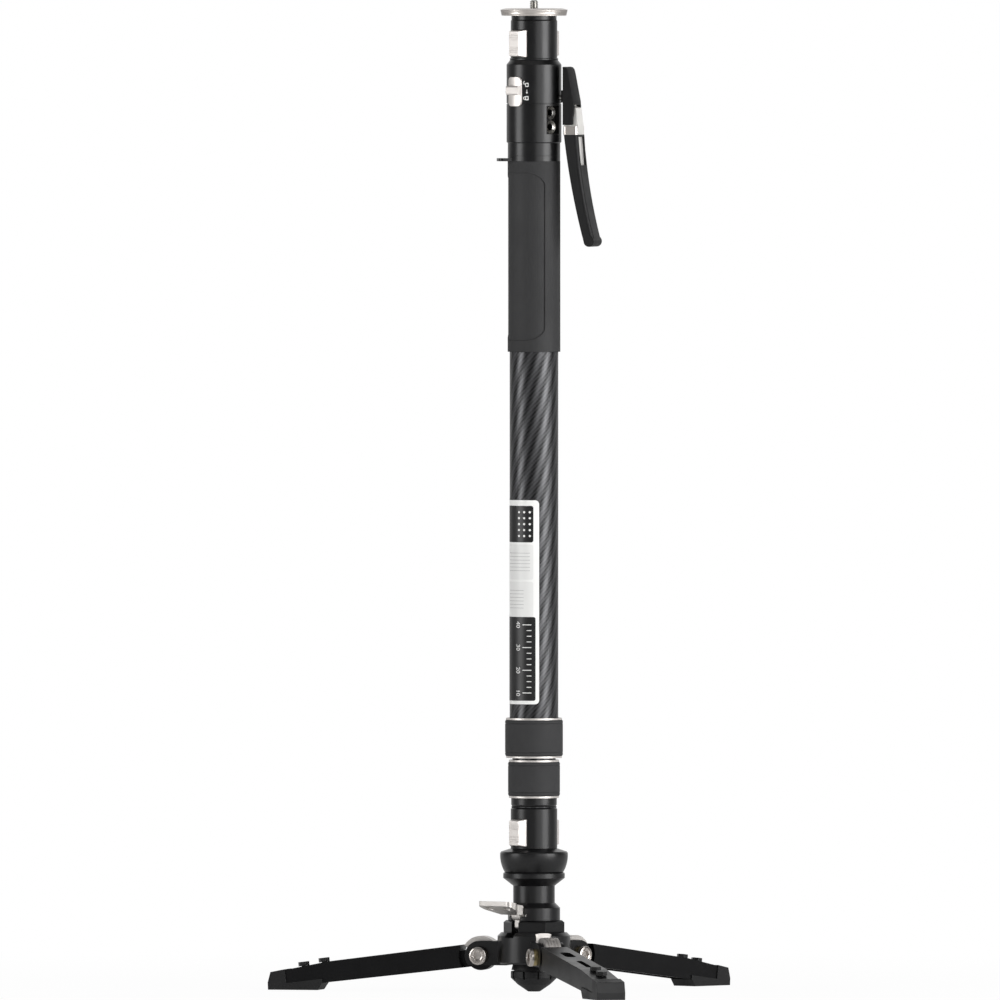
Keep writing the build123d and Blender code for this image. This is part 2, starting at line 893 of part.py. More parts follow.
def make_leg_crown(name):
    """The bright ridged segment on the leg's tongue, seen between the ears."""
    angles = [crown_start + crown_sweep * share for share in (0, 0.5, 1)]

    def arc(radius):
        return [(radius * cos(radians(a)), radius * sin(radians(a))) for a in angles]

    outer = arc(crown_radius)
    inner = arc(tongue_radius)
    curve = ThreePointArc(*outer) + Line(outer[2], inner[2])
    curve += ThreePointArc(*inner) + Line(inner[0], outer[0])
    crown = extrude(make_face(Plane.XZ * curve), tongue_half, both=True)
    ridged = [crown_start + crown_groove_sweep * share for share in (-0.2, 0.5, 1)]
    far = crown_radius + overrun
    near = crown_radius - crown_groove_depth
    outline = ThreePointArc(*[(far * cos(radians(a)), far * sin(radians(a))) for a in ridged])
    back = [(near * cos(radians(a)), near * sin(radians(a))) for a in reversed(ridged)]
    outline += ThreePointArc(*back) + Line(back[0], outline @ 1) + Line(back[2], outline @ 0)
    for index in range(crown_groove_count):
        offset = (index - (crown_groove_count - 1) / 2) * crown_groove_pitch
        groove = extrude(make_face(Plane.XZ * outline), crown_groove_width / 2, both=True)
        crown -= Pos(0, offset, 0) * groove
    return at_leg(crown, name)


def ground_line(along):
    """Height above the leg's pivot line of the ground, at a place along the leg."""
    slope = radians(leg_slope)
    return (along * sin(slope) - pivot_height) / cos(slope)


def wrap_rise():
    """How much higher the leg's top is where the boot begins to wrap it."""
    return (leg_top_at_bend - leg_top_at_end) * boot_wrap_length / leg_end_run


def make_leg_boot(name):
    tip = leg_reach + boot_tip_thickness
    toe = tip + boot_toe
    start = leg_reach - boot_length
    heel = start + boot_heel_slope
    wrap = leg_reach - boot_wrap_length
    points = [
        (start, -leg_underside_at_end + running),
        (heel, ground_line(heel)),
        (toe, ground_line(toe)),
        (tip, leg_top_at_end - boot_nose),
        (leg_reach, leg_top_at_end + boot_cover),
        (wrap, leg_top_at_end + boot_cover + wrap_rise()),
        (wrap, -boot_side_height),
        (start, -boot_side_height),
    ]
    boot = side_plate(points, boot_half)
    filled = side_plate(leg_outline(), ear_outer)
    return at_leg(boot - filled, name)


def make_leg_studs(name):
    studs = []
    for setback in stud_setbacks:
        place = leg_reach - setback
        share = min(1, (setback + stud_radius) / leg_end_run)
        seat = leg_top_at_end + (leg_top_at_bend - leg_top_at_end) * share
        head = extrude(RegularPolygon(stud_radius, 6), stud_height)
        shank = Pos(0, 0, -leg_roof) * extrude(Circle(stud_shank_radius), leg_roof)
        studs.append(at_leg(Pos(place, 0, seat + running) * (head + shank), name))
    return studs


# Quick-release receivers and buttons

def pocket_floor():
    """Distance from the mast's axis to the floor of a button's pocket."""
    inner = receiver_radius + button_stand_out - button_bevel - button_skirt
    return inner - button_travel - slip


def make_receiver(bottom, button_bottom):
    top = bottom + receiver_height
    edge = receiver_chamfer
    body = turned(
        [
            (0, bottom),
            (receiver_radius, bottom),
            (receiver_radius, top - edge),
            (receiver_radius - edge, top),
            (0, top),
        ]
    )
    body -= rod(receiver_bore, top - plug_depth - slip, top + overrun)
    low = bottom + button_bottom - slip
    for sign in (-1, 1):
        ys = sorted((sign * pocket_floor(), sign * (receiver_radius + overrun)))
        half = button_half_width + slip
        body -= block((-half, half), ys, (low, low + button_height + 2 * slip))
    return body


def make_button(bottom, side):
    """A bevelled push button with finger ridges; side is -1 at the front."""
    face = receiver_radius + button_stand_out
    middle = bottom + button_height / 2

    def layer(depth, half_width, height):
        outline = RectangleRounded(2 * half_width, height, button_corner)
        return Plane.XZ.offset(depth) * Pos(0, middle) * outline

    skirt = layer(face - button_bevel - button_skirt, button_half_width, button_height)
    shoulder = layer(face - button_bevel, button_half_width, button_height)
    crown = layer(face, button_face_half_width, button_face_height)
    button = extrude(skirt, button_skirt) + loft([shoulder, crown])
    for sign in (-1, 1):
        for index in range(button_ridge_count):
            place = middle + sign * (button_band_half + index * button_ridge_pitch)
            button -= block(
                (-button_half_width, button_half_width),
                (-face - overrun, -face + button_ridge_depth),
                sorted((place, place + sign * button_ridge_height)),
            )
    return button if side < 0 else Rot(Z=180) * button


def make_lower_receiver():
    body = make_receiver(lower_receiver_bottom, lower_button_bottom)
    return body - rod(
        spindle_radius + running, lower_receiver_bottom - overrun, ball_top + spindle_height + slip
    )


# Mast

def make_lower_fitting():
    bottom = lower_receiver_top
    bore = lower_tube_radius - tube_wall
    fitting = turned(
        [
            (0, bottom - plug_depth),
            (plug_radius, bottom - plug_depth),
            (plug_radius, bottom),
            (fitting_neck_radius, bottom),
            (fitting_neck_radius, bottom + fitting_groove),
            (fitting_radius, bottom + 2 * fitting_groove),
            (fitting_radius, fitting_top),
            (bore, fitting_top),
            (bore, fitting_top + fitting_insert_length),
            (0, fitting_top + fitting_insert_length),
        ]
    )
    return fitting


def make_tube(radius, low, high):
    return tube(radius, radius - tube_wall, low, high)


def make_guide_bush(radius, outer_tube_radius, top):
    """A bush on the top of an inner tube that runs inside the tube round it."""
    return tube(outer_tube_radius - tube_wall - glide, radius, top - bush_length, top)


def collar_bore(tube_radius):
    """Inside radius of a twist collar's sleeve round the next larger tube's ferrule."""
    return tube_radius + ferrule_wall + ferrule_thread


def make_collar_sleeve(bottom, grip_height, grip_radius, inner_tube, outer_tube):
    """The metal core of a twist collar, with a bright ring at each end."""
    top = bottom + 2 * ring_height + grip_height
    bore = collar_bore(outer_tube)
    core = bore + sleeve_wall
    ring = grip_radius - grip_thickness / 2
    return turned(
        [
            (inner_tube + slip, bottom),
            (ring, bottom),
            (ring, bottom + ring_height),
            (core, bottom + ring_height),
            (core, top - ring_height),
            (ring, top - ring_height),
            (ring, top),
            (bore, top),
            (bore, bottom + end_wall),
            (inner_tube + slip, bottom + end_wall),
        ]
    )


def make_collar_grip(bottom, grip_height, grip_radius, outer_tube):
    """The rubber round a twist collar, with a fine line near each end."""
    low = bottom + ring_height
    high = low + grip_height
    core = collar_bore(outer_tube) + sleeve_wall
    edge = grip_edge / 2
    grip = turned(
        [
            (core, low),
            (grip_radius - edge, low),
            (grip_radius, low + grip_edge),
            (grip_radius, high - grip_edge),
            (grip_radius - edge, high),
            (core, high),
        ]
    )
    for place in (low + grip_line_place, high - grip_line_place - grip_line_width):
        grip -= tube(
            grip_radius + overrun, grip_radius - grip_line_depth, place, place + grip_line_width
        )
    return grip


def make_clamp_wedge(bottom, inner_tube, outer_tube):
    """The slit nylon wedge that a twist collar squeezes on the inner tube."""
    low = bottom + end_wall + slip / 2
    wide = outer_tube + wedge_lip
    wedge = turned(
        [
            (inner_tube + running, low),
            (wide, low),
            (wide, low + wedge_height / 4),
            (outer_tube - slip, low + wedge_height / 4 + wedge_taper),
            (outer_tube - slip, low + wedge_height),
            (inner_tube + running, low + wedge_height),
        ]
    )
    slit = block((0, outer_tube + overrun), (-slip, slip), (low - overrun, low + wedge_height))
    return wedge - slit


def make_ferrule(bottom, outer_tube, grip_height):
    """The threaded end ring glued on the lower end of a tube."""
    low = bottom + end_wall + slip + wedge_height / 4 + wedge_taper
    high = bottom + ring_height + grip_height
    return tube(outer_tube + ferrule_wall, outer_tube, low, high)


def tube_bottom(collar_bottom):
    """Lower end of the tube that a collar's wedge sits under."""
    return collar_bottom + end_wall + wedge_height + slip


def make_grip_sleeve():
    low = grip_sleeve_bottom
    sleeve = tube(grip_sleeve_radius, upper_tube_radius, low, strap_ring_bottom)
    height = grip_sleeve_length - 2 * grip_panel_margin
    half = grip_sleeve_radius * sin(radians(grip_panel_half_angle))
    window = RectangleRounded(2 * half, height, grip_panel_corner)
    middle = low + grip_sleeve_length / 2
    panel = extrude(Plane.XZ * Pos(0, middle) * window, 2 * grip_sleeve_radius)
    skin = tube(
        grip_sleeve_radius + overrun,
        grip_sleeve_radius - grip_panel_depth,
        low - overrun,
        strap_ring_bottom + overrun,
    )
    return sleeve - (skin & panel)


def make_strap_ring():
    low = strap_ring_bottom
    ring = tube(strap_ring_radius, upper_tube_radius, low, handle_bottom)
    half = strap_tab_half
    start = upper_tube_radius + (strap_ring_radius - upper_tube_radius) / 2
    outline = make_face(
        Polyline(
            (start - strap_tab_corner, -half),
            (strap_tab_reach, -half),
            (strap_tab_reach, half),
            (start - strap_tab_corner, half),
            close=True,
        )
    )
    outline = fillet(outline.vertices().sort_by(Axis.X)[2:], strap_tab_corner)
    tab = Pos(0, 0, low) * extrude(outline, strap_tab_thickness)
    tab -= rod(start, low - overrun, handle_bottom)
    slot_far = strap_tab_reach - strap_slot_margin
    tab -= block(
        (slot_far - strap_slot_width, slot_far),
        (-strap_slot_half, strap_slot_half),
        (low - overrun, handle_bottom),
    )
    return ring + Rot(Z=strap_tab_azimuth) * tab


def make_handle_body():
    low = handle_bottom
    body = turned(
        [
            (0, upper_tube_top),
            (upper_tube_radius, upper_tube_top),
            (upper_tube_radius, low),
            (step_radius, low),
            (step_radius, step_top - seam_height),
            (handle_radius, step_top),
            (handle_radius, seam - seam_height),
            (handle_radius - seam_depth, seam - seam_height),
            (handle_radius - seam_depth, seam),
            (0, seam),
        ]
    )
    port_top = seam - port_drop
    port_low = port_top - port_height
    body -= block(
        (port_floor, handle_radius + overrun),
        (-port_half_width, port_half_width),
        (port_low, port_top),
    )
    middle = (port_top + port_low) / 2
    for sign in (-1, 1):
        height = middle + sign * port_hole_spacing / 2
        hole = Pos(port_floor, 0, height) * Rot(Y=-90)
        body -= hole * extrude(Circle(port_hole_radius), port_hole_depth)
        mouth = Circle(port_hole_radius + port_countersink)
        inside = Pos(0, 0, port_countersink_depth) * Circle(port_hole_radius)
        body -= hole * loft([mouth, inside])
    return body


def slider_bottom():
    """Lower edge of the slider in its locked place."""
    return seam - slider_below_seam


def stem_bottom():
    """Lower edge of the slider's stem in its locked place."""
    return seam + slider_stem_half


def make_handle_cap():
    edge = cap_chamfer
    cap = turned(
        [
            (0, seam),
            (handle_radius, seam),
            (handle_radius, cap_top - edge),
            (cap_top_radius, cap_top),
            (0, cap_top),
        ]
    )
    stem_top = stem_bottom() + slider_stem_height
    half = slider_stem_half + slip
    cap -= block(
        (-half, half),
        (-handle_radius - overrun, -handle_radius + slider_stem_depth + slip),
        (stem_bottom() - slip, stem_top + slider_travel + slip),
    )
    bore = Rot(Z=lever_azimuth) * Pos(lock_pin_inner - slip, 0, lock_pin_height()) * Rot(Y=90)
    return cap - bore * extrude(Circle(lock_pin_radius + running), housing_inner)


def make_lock_slider():
    low = slider_bottom()
    inner = handle_radius + slip / 2
    outline = RectangleRounded(2 * slider_half, slider_height, slider_corner)
    middle = low + slider_height / 2
    pad = extrude(Plane.XZ * Pos(0, middle) * outline, 2 * handle_radius)
    plate = tube(inner + slider_thickness, inner, low - overrun, low + 2 * slider_height) & pad
    tab_middle = middle + slider_travel / 6
    tab = block(
        (-slider_tab_half, slider_tab_half),
        (-slider_tab_reach, -inner),
        (tab_middle - slider_tab_height / 2, tab_middle + slider_tab_height / 2),
    )
    tab = fillet(tab.edges().filter_by(Axis.X).sort_by(Axis.Y)[:2], slider_thickness)
    tab -= rod(inner, low - overrun, low + 2 * slider_height)
    stem = block(
        (-slider_stem_half, slider_stem_half),
        (-inner - slider_thickness / 2, -handle_radius + slider_stem_depth),
        (stem_bottom(), stem_bottom() + slider_stem_height),
    )
    return plate + tab + stem


def make_upper_receiver():
    return make_receiver(cap_top, upper_button_bottom)


# Lever

def lever_pivot_height():
    return seam - lever_pivot_drop


def lock_pin_height():
    return lever_pivot_height() + arm_nose_rise - lock_pin_head_radius / 2


def at_lever(shape):
    return Rot(Z=lever_azimuth) * shape


def make_lever_housing():
    outline = make_face(
        Plane.XZ
        * Polyline(
            (housing_inner, seam - housing_bottom_drop),
            (housing_bottom_radius, seam - housing_bottom_drop),
            (housing_heel_radius, seam - housing_heel_drop),
            (housing_nose_radius, seam - housing_nose_drop - housing_corner * 2),
            (housing_nose_radius, seam - housing_nose_drop),
            (housing_inner + housing_top_depth, seam + housing_top_rise),
            (housing_inner, seam + housing_top_rise),
            close=True,
        )
    )
    housing = extrude(outline, housing_half, both=True)
    corners = housing.edges().filter_by(Axis.Y).group_by(Axis.X)[-1]
    housing = fillet(corners, housing_corner)
    foot_start = sqrt(handle_radius**2 - housing_foot_half**2)
    foot = block(
        (foot_start - overrun, housing_inner),
        (-housing_foot_half, housing_foot_half),
        (seam + housing_foot_low, seam + housing_foot_high),
    )
    foot -= rod(handle_radius, seam, cap_top)
    rim = seam - housing_nose_drop
    slot = block(
        (housing_inner - overrun, housing_nose_radius + overrun),
        (-housing_slot_half, housing_slot_half),
        (seam - housing_bottom_drop - overrun, rim),
    )
    lean = (housing_nose_radius - housing_inner - housing_top_depth) / (
        housing_top_rise + housing_nose_drop
    )
    hollow = housing_nose_radius - housing_wall
    slot += side_plate(
        [
            (housing_inner - overrun, rim - overrun),
            (hollow, rim - overrun),
            (hollow, rim),
            (hollow - lean * (housing_roof + housing_nose_drop), seam + housing_roof),
            (housing_inner - overrun, seam + housing_roof),
        ],
        housing_slot_half,
    )
    pivot = bar_along_y(lever_pin_radius, housing_half + overrun, lever_pivot_radius, lever_pivot_height())
    bore = Pos(foot_start - overrun, 0, lock_pin_height()) * Rot(Y=90)
    housing = housing - slot + foot - pivot
    return at_lever(housing - bore * extrude(Circle(lock_pin_radius + running), housing_inner))


def make_lever_pin():
    pin = bar_along_y(lever_pin_radius, housing_half - slip, lever_pivot_radius, lever_pivot_height())
    return at_lever(pin)


def band_top():
    return lever_pivot_height() - arm_band_drop


def band_bottom():
    return band_top() - arm_band_height


def grip_point(place):
    """A point of the lever grip's side view: its radius, and a share of the grip's drop."""
    radius, share = place
    return radius, band_bottom() - share * (band_bottom() - grip_bottom())


def grip_bottom():
    return lever_pivot_height() - grip_end_drop


def tongue_outline():
    top = band_bottom()
    low = top - arm_tongue_length
    return [
        (arm_tongue_inner[0], top + overrun),
        (arm_tongue_outer[0], top + overrun),
        (arm_tongue_outer[1], low),
        (arm_tongue_inner[1], low),
    ]


def arm_outer_radius():
    """Mast axis to the outer face of the lever's band."""
    return arm_band_inner + arm_band_depth


def make_lever_arm():
    pivot = lever_pivot_height()
    top = pivot + arm_nose_rise
    nose = lever_pivot_radius - arm_nose_inset
    outer = arm_outer_radius()
    neck = side_plate(
        [
            (nose, top),
            (nose + arm_nose_depth, top),
            (nose + arm_waist_depth, pivot + arm_waist_rise),
            (nose + arm_waist_depth, pivot + arm_waist_rise / 2),
            (outer - arm_elbow_setback, pivot - arm_elbow_drop),
            (outer, band_top()),
            (outer, band_top() - arm_band_height / 2),
            (arm_band_inner, band_top() - arm_band_height / 2),
            (arm_band_inner, band_top()),
            (nose, pivot - arm_nose_inset),
        ],
        arm_half,
    )
    band = side_plate(
        [
            (arm_band_inner, band_bottom()),
            (arm_outer_radius(), band_bottom()),
            (arm_outer_radius(), band_top()),
            (arm_band_inner, band_top()),
        ],
        grip_half,
    )
    band = fillet(band.edges().filter_by(Axis.Z), grip_round)
    arm = neck + band + side_plate(tongue_outline(), arm_tongue_half)
    return at_lever(arm - bar_along_y(lever_pin_radius + running, grip_half, lever_pivot_radius, pivot))


def make_lever_grip():
    inner = [grip_point(place) for place in grip_inner_places]
    outer = [grip_point(place) for place in grip_outer_places]
    low = (inner[2][0] + outer[2][0]) / 2, grip_bottom()
    curve = ThreePointArc(*inner) + ThreePointArc(*outer) + Line(inner[0], outer[0])
    curve += ThreePointArc(inner[2], low, outer[2])
    grip = extrude(make_face(Plane.XZ * curve), grip_half, both=True)
    rims = grip.edges().filter_by(GeomType.CIRCLE).sort_by(lambda edge: edge.center().X)
    grip = fillet(rims[2:4], grip_round)
    grip -= side_plate(tongue_outline(), arm_tongue_half)
    window_high = band_bottom() - window_top
    grip -= block(
        (arm_tongue_outer[0], arm_outer_radius() + grip_half),
        (-window_half, window_half),
        (window_high - window_length, window_high),
    )
    return at_lever(grip)


def make_lock_pin():
    end = lever_pivot_radius - arm_nose_inset - slip
    neck = end - lock_pin_head_height
    length = neck - lock_pin_inner
    pin = extrude(Circle(lock_pin_radius), length + running)
    head = Pos(0, 0, length) * extrude(Circle(lock_pin_head_radius), lock_pin_head_height)
    place = Pos(lock_pin_inner, 0, lock_pin_height()) * Rot(Y=90)
    return at_lever(place * (pin + head))


# Head

def make_head_plate():
    bottom = upper_receiver_top
    plate = turned(
        [
            (0, bottom - plug_depth),
            (plug_radius, bottom - plug_depth),
            (plug_radius, bottom),
            (head_neck_radius, bottom),
            (head_neck_radius, head_plate_bottom),
            (head_plate_lower_radius, head_plate_bottom),
            (head_plate_radius, head_plate_top - head_plate_shoulder_height),
            (head_plate_shoulder_radius, head_plate_top),
            (0, head_plate_top),
        ]
    )
    plate -= rod(stud_neck_radius, bottom, stud_top)
    plate -= rod(stud_relief_radius, head_plate_top - stud_relief_depth, stud_top)
    return plate - rod(
        stud_foot_radius,
        head_plate_bottom - head_neck_height - stud_foot_height,
        head_plate_bottom - head_neck_height,
    )


def make_camera_stud():
    foot_top = head_plate_bottom - head_neck_height
    stud = turned(
        [
            (0, foot_top - stud_foot_height),
            (stud_foot_radius, foot_top - stud_foot_height),
            (stud_foot_radius, foot_top),
            (stud_neck_radius, foot_top),
            (stud_neck_radius, head_plate_top),
            (stud_thread_radius, head_plate_top),
            (stud_thread_radius, stud_top - stud_tip_chamfer),
            (stud_thread_radius - stud_tip_chamfer, stud_top),
            (0, stud_top),
        ]
    )
    half = stud_slot_width / 2
    reach = stud_foot_radius
    return stud - block((-reach, reach), (-half, half), (stud_top - stud_slot_depth, stud_top + overrun))


def make_nodes():
    """Every piece of the monopod by node name, each a solid or a list of solids."""
    nodes = {
        "hub_body": make_hub_body(),
        "pivot_bolts": make_pivot_bolts(),
        "pivot_washers": make_pivot_washers(),
        "centre_foot": make_centre_foot(),
        "foot_stud": make_foot_stud(),
        "hub_collar": make_hub_collar(),
        "column_body": make_column_body(),
        "pedal_pin": make_pedal_pin(),
        "spring_stack": make_spring_stack(),
        "tilt_cup": make_tilt_cup(),
        "foot_pedal": make_foot_pedal(),
        "brake_wedge": make_brake_wedge(),
        "brake_rod": make_brake_rod(),
        "brake_head": make_brake_head(),
        "friction_dish": make_friction_dish(),
        "half_ball": make_half_ball(),
        "lower_receiver": make_lower_receiver(),
        "lower_fitting": make_lower_fitting(),
        "lower_tube": make_tube(lower_tube_radius, fitting_top, lower_tube_top),
        "lower_bush": make_guide_bush(lower_tube_radius, middle_tube_radius, lower_tube_top),
        "middle_tube": make_tube(
            middle_tube_radius, tube_bottom(lower_collar_bottom), middle_tube_top
        ),
        "middle_bush": make_guide_bush(middle_tube_radius, upper_tube_radius, middle_tube_top),
        "middle_ferrule": make_ferrule(lower_collar_bottom, middle_tube_radius, lower_grip_height),
        "lower_wedge": make_clamp_wedge(
            lower_collar_bottom, lower_tube_radius, middle_tube_radius
        ),
        "lower_collar_sleeve": make_collar_sleeve(
            lower_collar_bottom,
            lower_grip_height,
            lower_grip_radius,
            lower_tube_radius,
            middle_tube_radius,
        ),
        "lower_collar_grip": make_collar_grip(
            lower_collar_bottom, lower_grip_height, lower_grip_radius, middle_tube_radius
        ),
        "upper_tube": make_tube(
            upper_tube_radius, tube_bottom(upper_collar_bottom), upper_tube_top
        ),
        "upper_ferrule": make_ferrule(upper_collar_bottom, upper_tube_radius, upper_grip_height),
        "upper_wedge": make_clamp_wedge(
            upper_collar_bottom, middle_tube_radius, upper_tube_radius
        ),
        "upper_collar_sleeve": make_collar_sleeve(
            upper_collar_bottom,
            upper_grip_height,
            upper_grip_radius,
            middle_tube_radius,
            upper_tube_radius,
        ),
        "upper_collar_grip": make_collar_grip(
            upper_collar_bottom, upper_grip_height, upper_grip_radius, upper_tube_radius
        ),
        "grip_sleeve": make_grip_sleeve(),
        "strap_ring": make_strap_ring(),
        "handle_body": make_handle_body(),
        "handle_cap": make_handle_cap(),
        "lock_slider": make_lock_slider(),
        "lever_housing": make_lever_housing(),
        "lever_pin": make_lever_pin(),
        "lever_arm": make_lever_arm(),
        "lever_grip": make_lever_grip(),
        "lock_pin": make_lock_pin(),
        "upper_receiver": make_upper_receiver(),
        "head_plate": make_head_plate(),
        "camera_stud": make_camera_stud(),
    }
    for name in leg_azimuths:
        nodes[f"leg_arm_{name}"] = make_leg_arm(name)
        nodes[f"leg_crown_{name}"] = make_leg_crown(name)
        nodes[f"leg_boot_{name}"] = make_leg_boot(name)
        nodes[f"leg_studs_{name}"] = make_leg_studs(name)
    for place, side in (("front", -1), ("rear", 1)):
        lower = lower_receiver_bottom + lower_button_bottom
        upper = cap_top + upper_button_bottom
        nodes[f"lower_button_{place}"] = make_button(lower, side)
        nodes[f"upper_button_{place}"] = make_button(upper, side)
    return nodes


for node_name, shape in make_nodes().items():
    solids = shape if isinstance(shape, list) else [shape]
    solids = [solid for item in solids for solid in item.solids()]
    whole = Compound(children=solids) if len(solids) > 1 else solids[0]
    whole.label = node_name
    export_step(whole, f"parts/{node_name}.step")
print("highest point", stud_top)
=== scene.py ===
import json
import math

import bmesh
import bpy
from mathutils import Matrix, Vector


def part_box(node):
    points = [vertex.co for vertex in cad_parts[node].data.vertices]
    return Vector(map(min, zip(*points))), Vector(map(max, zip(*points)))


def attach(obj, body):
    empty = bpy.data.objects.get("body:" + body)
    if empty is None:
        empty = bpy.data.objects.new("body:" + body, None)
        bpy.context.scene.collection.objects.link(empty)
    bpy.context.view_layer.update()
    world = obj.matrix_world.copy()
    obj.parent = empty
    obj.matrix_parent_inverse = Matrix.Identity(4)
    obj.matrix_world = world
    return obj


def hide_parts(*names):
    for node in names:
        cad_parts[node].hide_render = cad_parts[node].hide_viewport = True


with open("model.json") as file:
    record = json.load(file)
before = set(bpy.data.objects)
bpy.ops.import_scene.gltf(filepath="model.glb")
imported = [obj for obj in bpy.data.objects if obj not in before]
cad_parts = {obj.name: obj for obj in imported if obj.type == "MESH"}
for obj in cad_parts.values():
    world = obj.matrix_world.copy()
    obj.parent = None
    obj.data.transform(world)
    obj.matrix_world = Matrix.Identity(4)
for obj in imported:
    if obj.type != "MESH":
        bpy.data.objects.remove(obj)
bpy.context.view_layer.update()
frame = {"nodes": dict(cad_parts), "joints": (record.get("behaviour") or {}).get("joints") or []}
nodes = frame["nodes"]
mm = 0.001
print("frame loaded:", len(nodes), "nodes")


# an object in the scene from a bmesh, and one that rides a body with its finish

def heldObject(name, bm):
    mesh = bpy.data.meshes.new(name)
    bm.to_mesh(mesh)
    bm.free()
    held = bpy.data.objects.new(name, mesh)
    bpy.context.scene.collection.objects.link(held)
    return held


def dress(piece, material, body):
    piece.data.materials.clear()
    piece.data.materials.append(material)
    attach(piece, body)


smoothAngle = math.radians(28)


def smoothen(mesh):
    mesh.shade_smooth()
    mesh.set_sharp_from_angle(angle=smoothAngle)


# colours and shader nodes

def linear(hexText):
    channels = [int(hexText[i:i + 2], 16) / 255 for i in (1, 3, 5)]
    return [c / 12.92 if c <= 0.04045 else ((c + 0.055) / 1.055) ** 2.4 for c in channels] + [1]


def addNode(tree, kind, settings, links):
    node = tree.nodes.new("ShaderNode" + kind)
    for key, value in settings.items():
        if isinstance(key, int) or key in node.inputs:
            node.inputs[key].default_value = value
        else:
            setattr(node, key, value)
    for key, socket in links.items():
        tree.links.new(socket, node.inputs[key])
    return node


def startMaterial(name, finish):
    material = bpy.data.materials.new(name)
    material.use_nodes = True
    tree = material.node_tree
    shader = tree.nodes["Principled BSDF"]
    shader.inputs["Base Color"].default_value = linear(finish["colour"])
    for key, socket in (("metallic", "Metallic"), ("roughness", "Roughness"), ("ior", "IOR")):
        if key in finish:
            shader.inputs[socket].default_value = finish[key]
    if "specular" in finish:
        shader.inputs["Specular IOR Level"].default_value = finish["specular"]
    if "coat" in finish:
        shader.inputs["Coat Weight"].default_value = finish["coat"]
        shader.inputs["Coat Roughness"].default_value = finish["coatRoughness"]
    return material, tree, shader


def objectPlace(tree):
    return addNode(tree, "TexCoord", {}, {}).outputs["Object"]


# fine grain that lifts the surface and varies its gloss, on edges softened by edgeRadius
grain = {"rise": 0.05, "cloudLow": 0.35, "cloudHigh": 0.65}  # the rise in mm, and where the noise mostly lies


def addGrain(tree, shader, finish):
    place = objectPlace(tree)
    specks = addNode(tree, "TexNoise", {"Scale": 1000 / finish["grainSize"], "Detail": 3}, {"Vector": place})
    cloud = addNode(tree, "TexNoise", {"Scale": 1000 / finish["patchSize"], "Detail": 2}, {"Vector": place})
    soft = addNode(tree, "Bevel", {"samples": 4, "Radius": finish["edgeRadius"] * mm}, {})
    bump = addNode(
        tree, "Bump", {"Strength": finish["grainDepth"], "Distance": grain["rise"] * mm},
        {"Height": specks.outputs["Fac"], "Normal": soft.outputs["Normal"]},
    )
    tree.links.new(bump.outputs["Normal"], shader.inputs["Normal"])
    low = finish["roughness"] - finish["glossSpread"]
    high = finish["roughness"] + finish["glossSpread"]
    gloss = addNode(
        tree, "MapRange",
        {"From Min": grain["cloudLow"], "From Max": grain["cloudHigh"], "To Min": low, "To Max": high},
        {"Value": cloud.outputs["Fac"]},
    )
    tree.links.new(gloss.outputs["Result"], shader.inputs["Roughness"])
    pale = addNode(tree, "Mix", {"data_type": "RGBA"}, {"Factor": cloud.outputs["Fac"]})
    pale.inputs[6].default_value = linear(finish["colour"])
    pale.inputs[7].default_value = linear(finish["colourWorn"])
    tree.links.new(pale.outputs[2], shader.inputs["Base Color"])


# anodised aluminium, bead blasted: soft highlights on near black, a paler line along edges
anodised = {
    "colour": "#111112", "colourWorn": "#151516", "metallic": 0.25, "roughness": 0.3, "glossSpread": 0.02,
    "grainSize": 0.3, "patchSize": 14, "grainDepth": 0.1, "edgeRadius": 0.35,
}
# the legs' coat of the same kind, sealed duller
legAnodised = dict(anodised, specular=0.2, roughness=0.34)
# clear anodised aluminium, turned: bright, with a soft sheen
silver = {
    "colour": "#dcd7d3", "colourWorn": "#d0cbc7", "metallic": 0.6, "roughness": 0.4, "glossSpread": 0.02,
    "grainSize": 0.25, "patchSize": 12, "grainDepth": 0.04, "edgeRadius": 0.25,
}
# the lever's arm, clear anodised too but polished brighter
leverSilver = dict(silver, colour="#f2f0ec", colourWorn="#e9e7e3", roughness=0.36)
# bare aluminium, machined: a warm grey that mirrors the room, with fine turning lines
machined = {
    "colour": "#cdc7c2", "colourWorn": "#bdb7b1", "metallic": 1.0, "roughness": 0.3, "glossSpread": 0.03,
    "grainSize": 0.25, "patchSize": 9, "grainDepth": 0.05, "edgeRadius": 0.25,
    "lineWide": 1.5, "lineDepth": 0.7, "lineRise": 0.5,  # coarser than the real 0.2 mm lines, to show
}
# the same metal, bead blasted and clear: pale, with broad soft reflections
blasted = dict(machined, colour="#d8d4d0", colourWorn="#cac6c2", metallic=0.85, roughness=0.4)
# stainless steel, tumbled: harder and a little darker than the aluminium
steel = {
    "colour": "#c9c8c4", "colourWorn": "#b4b2ae", "metallic": 1.0, "roughness": 0.24, "glossSpread": 0.05,
    "grainSize": 0.4, "patchSize": 6, "grainDepth": 0.1, "edgeRadius": 0.2,
}
# blackened steel: near black with glints on its edges
blackened = {
    "colour": "#3c3c3d", "colourWorn": "#2b2b2c", "metallic": 1.0, "roughness": 0.22, "glossSpread": 0.05,
    "grainSize": 0.3, "patchSize": 4, "grainDepth": 0.15, "edgeRadius": 0.1,
}
# zinc plated and passivated: yellow gold washers
brass = {
    "colour": "#b3a57c", "colourWorn": "#9c8e66", "metallic": 1.0, "roughness": 0.4, "glossSpread": 0.05,
    "grainSize": 0.4, "patchSize": 5, "grainDepth": 0.1, "edgeRadius": 0.2,
}
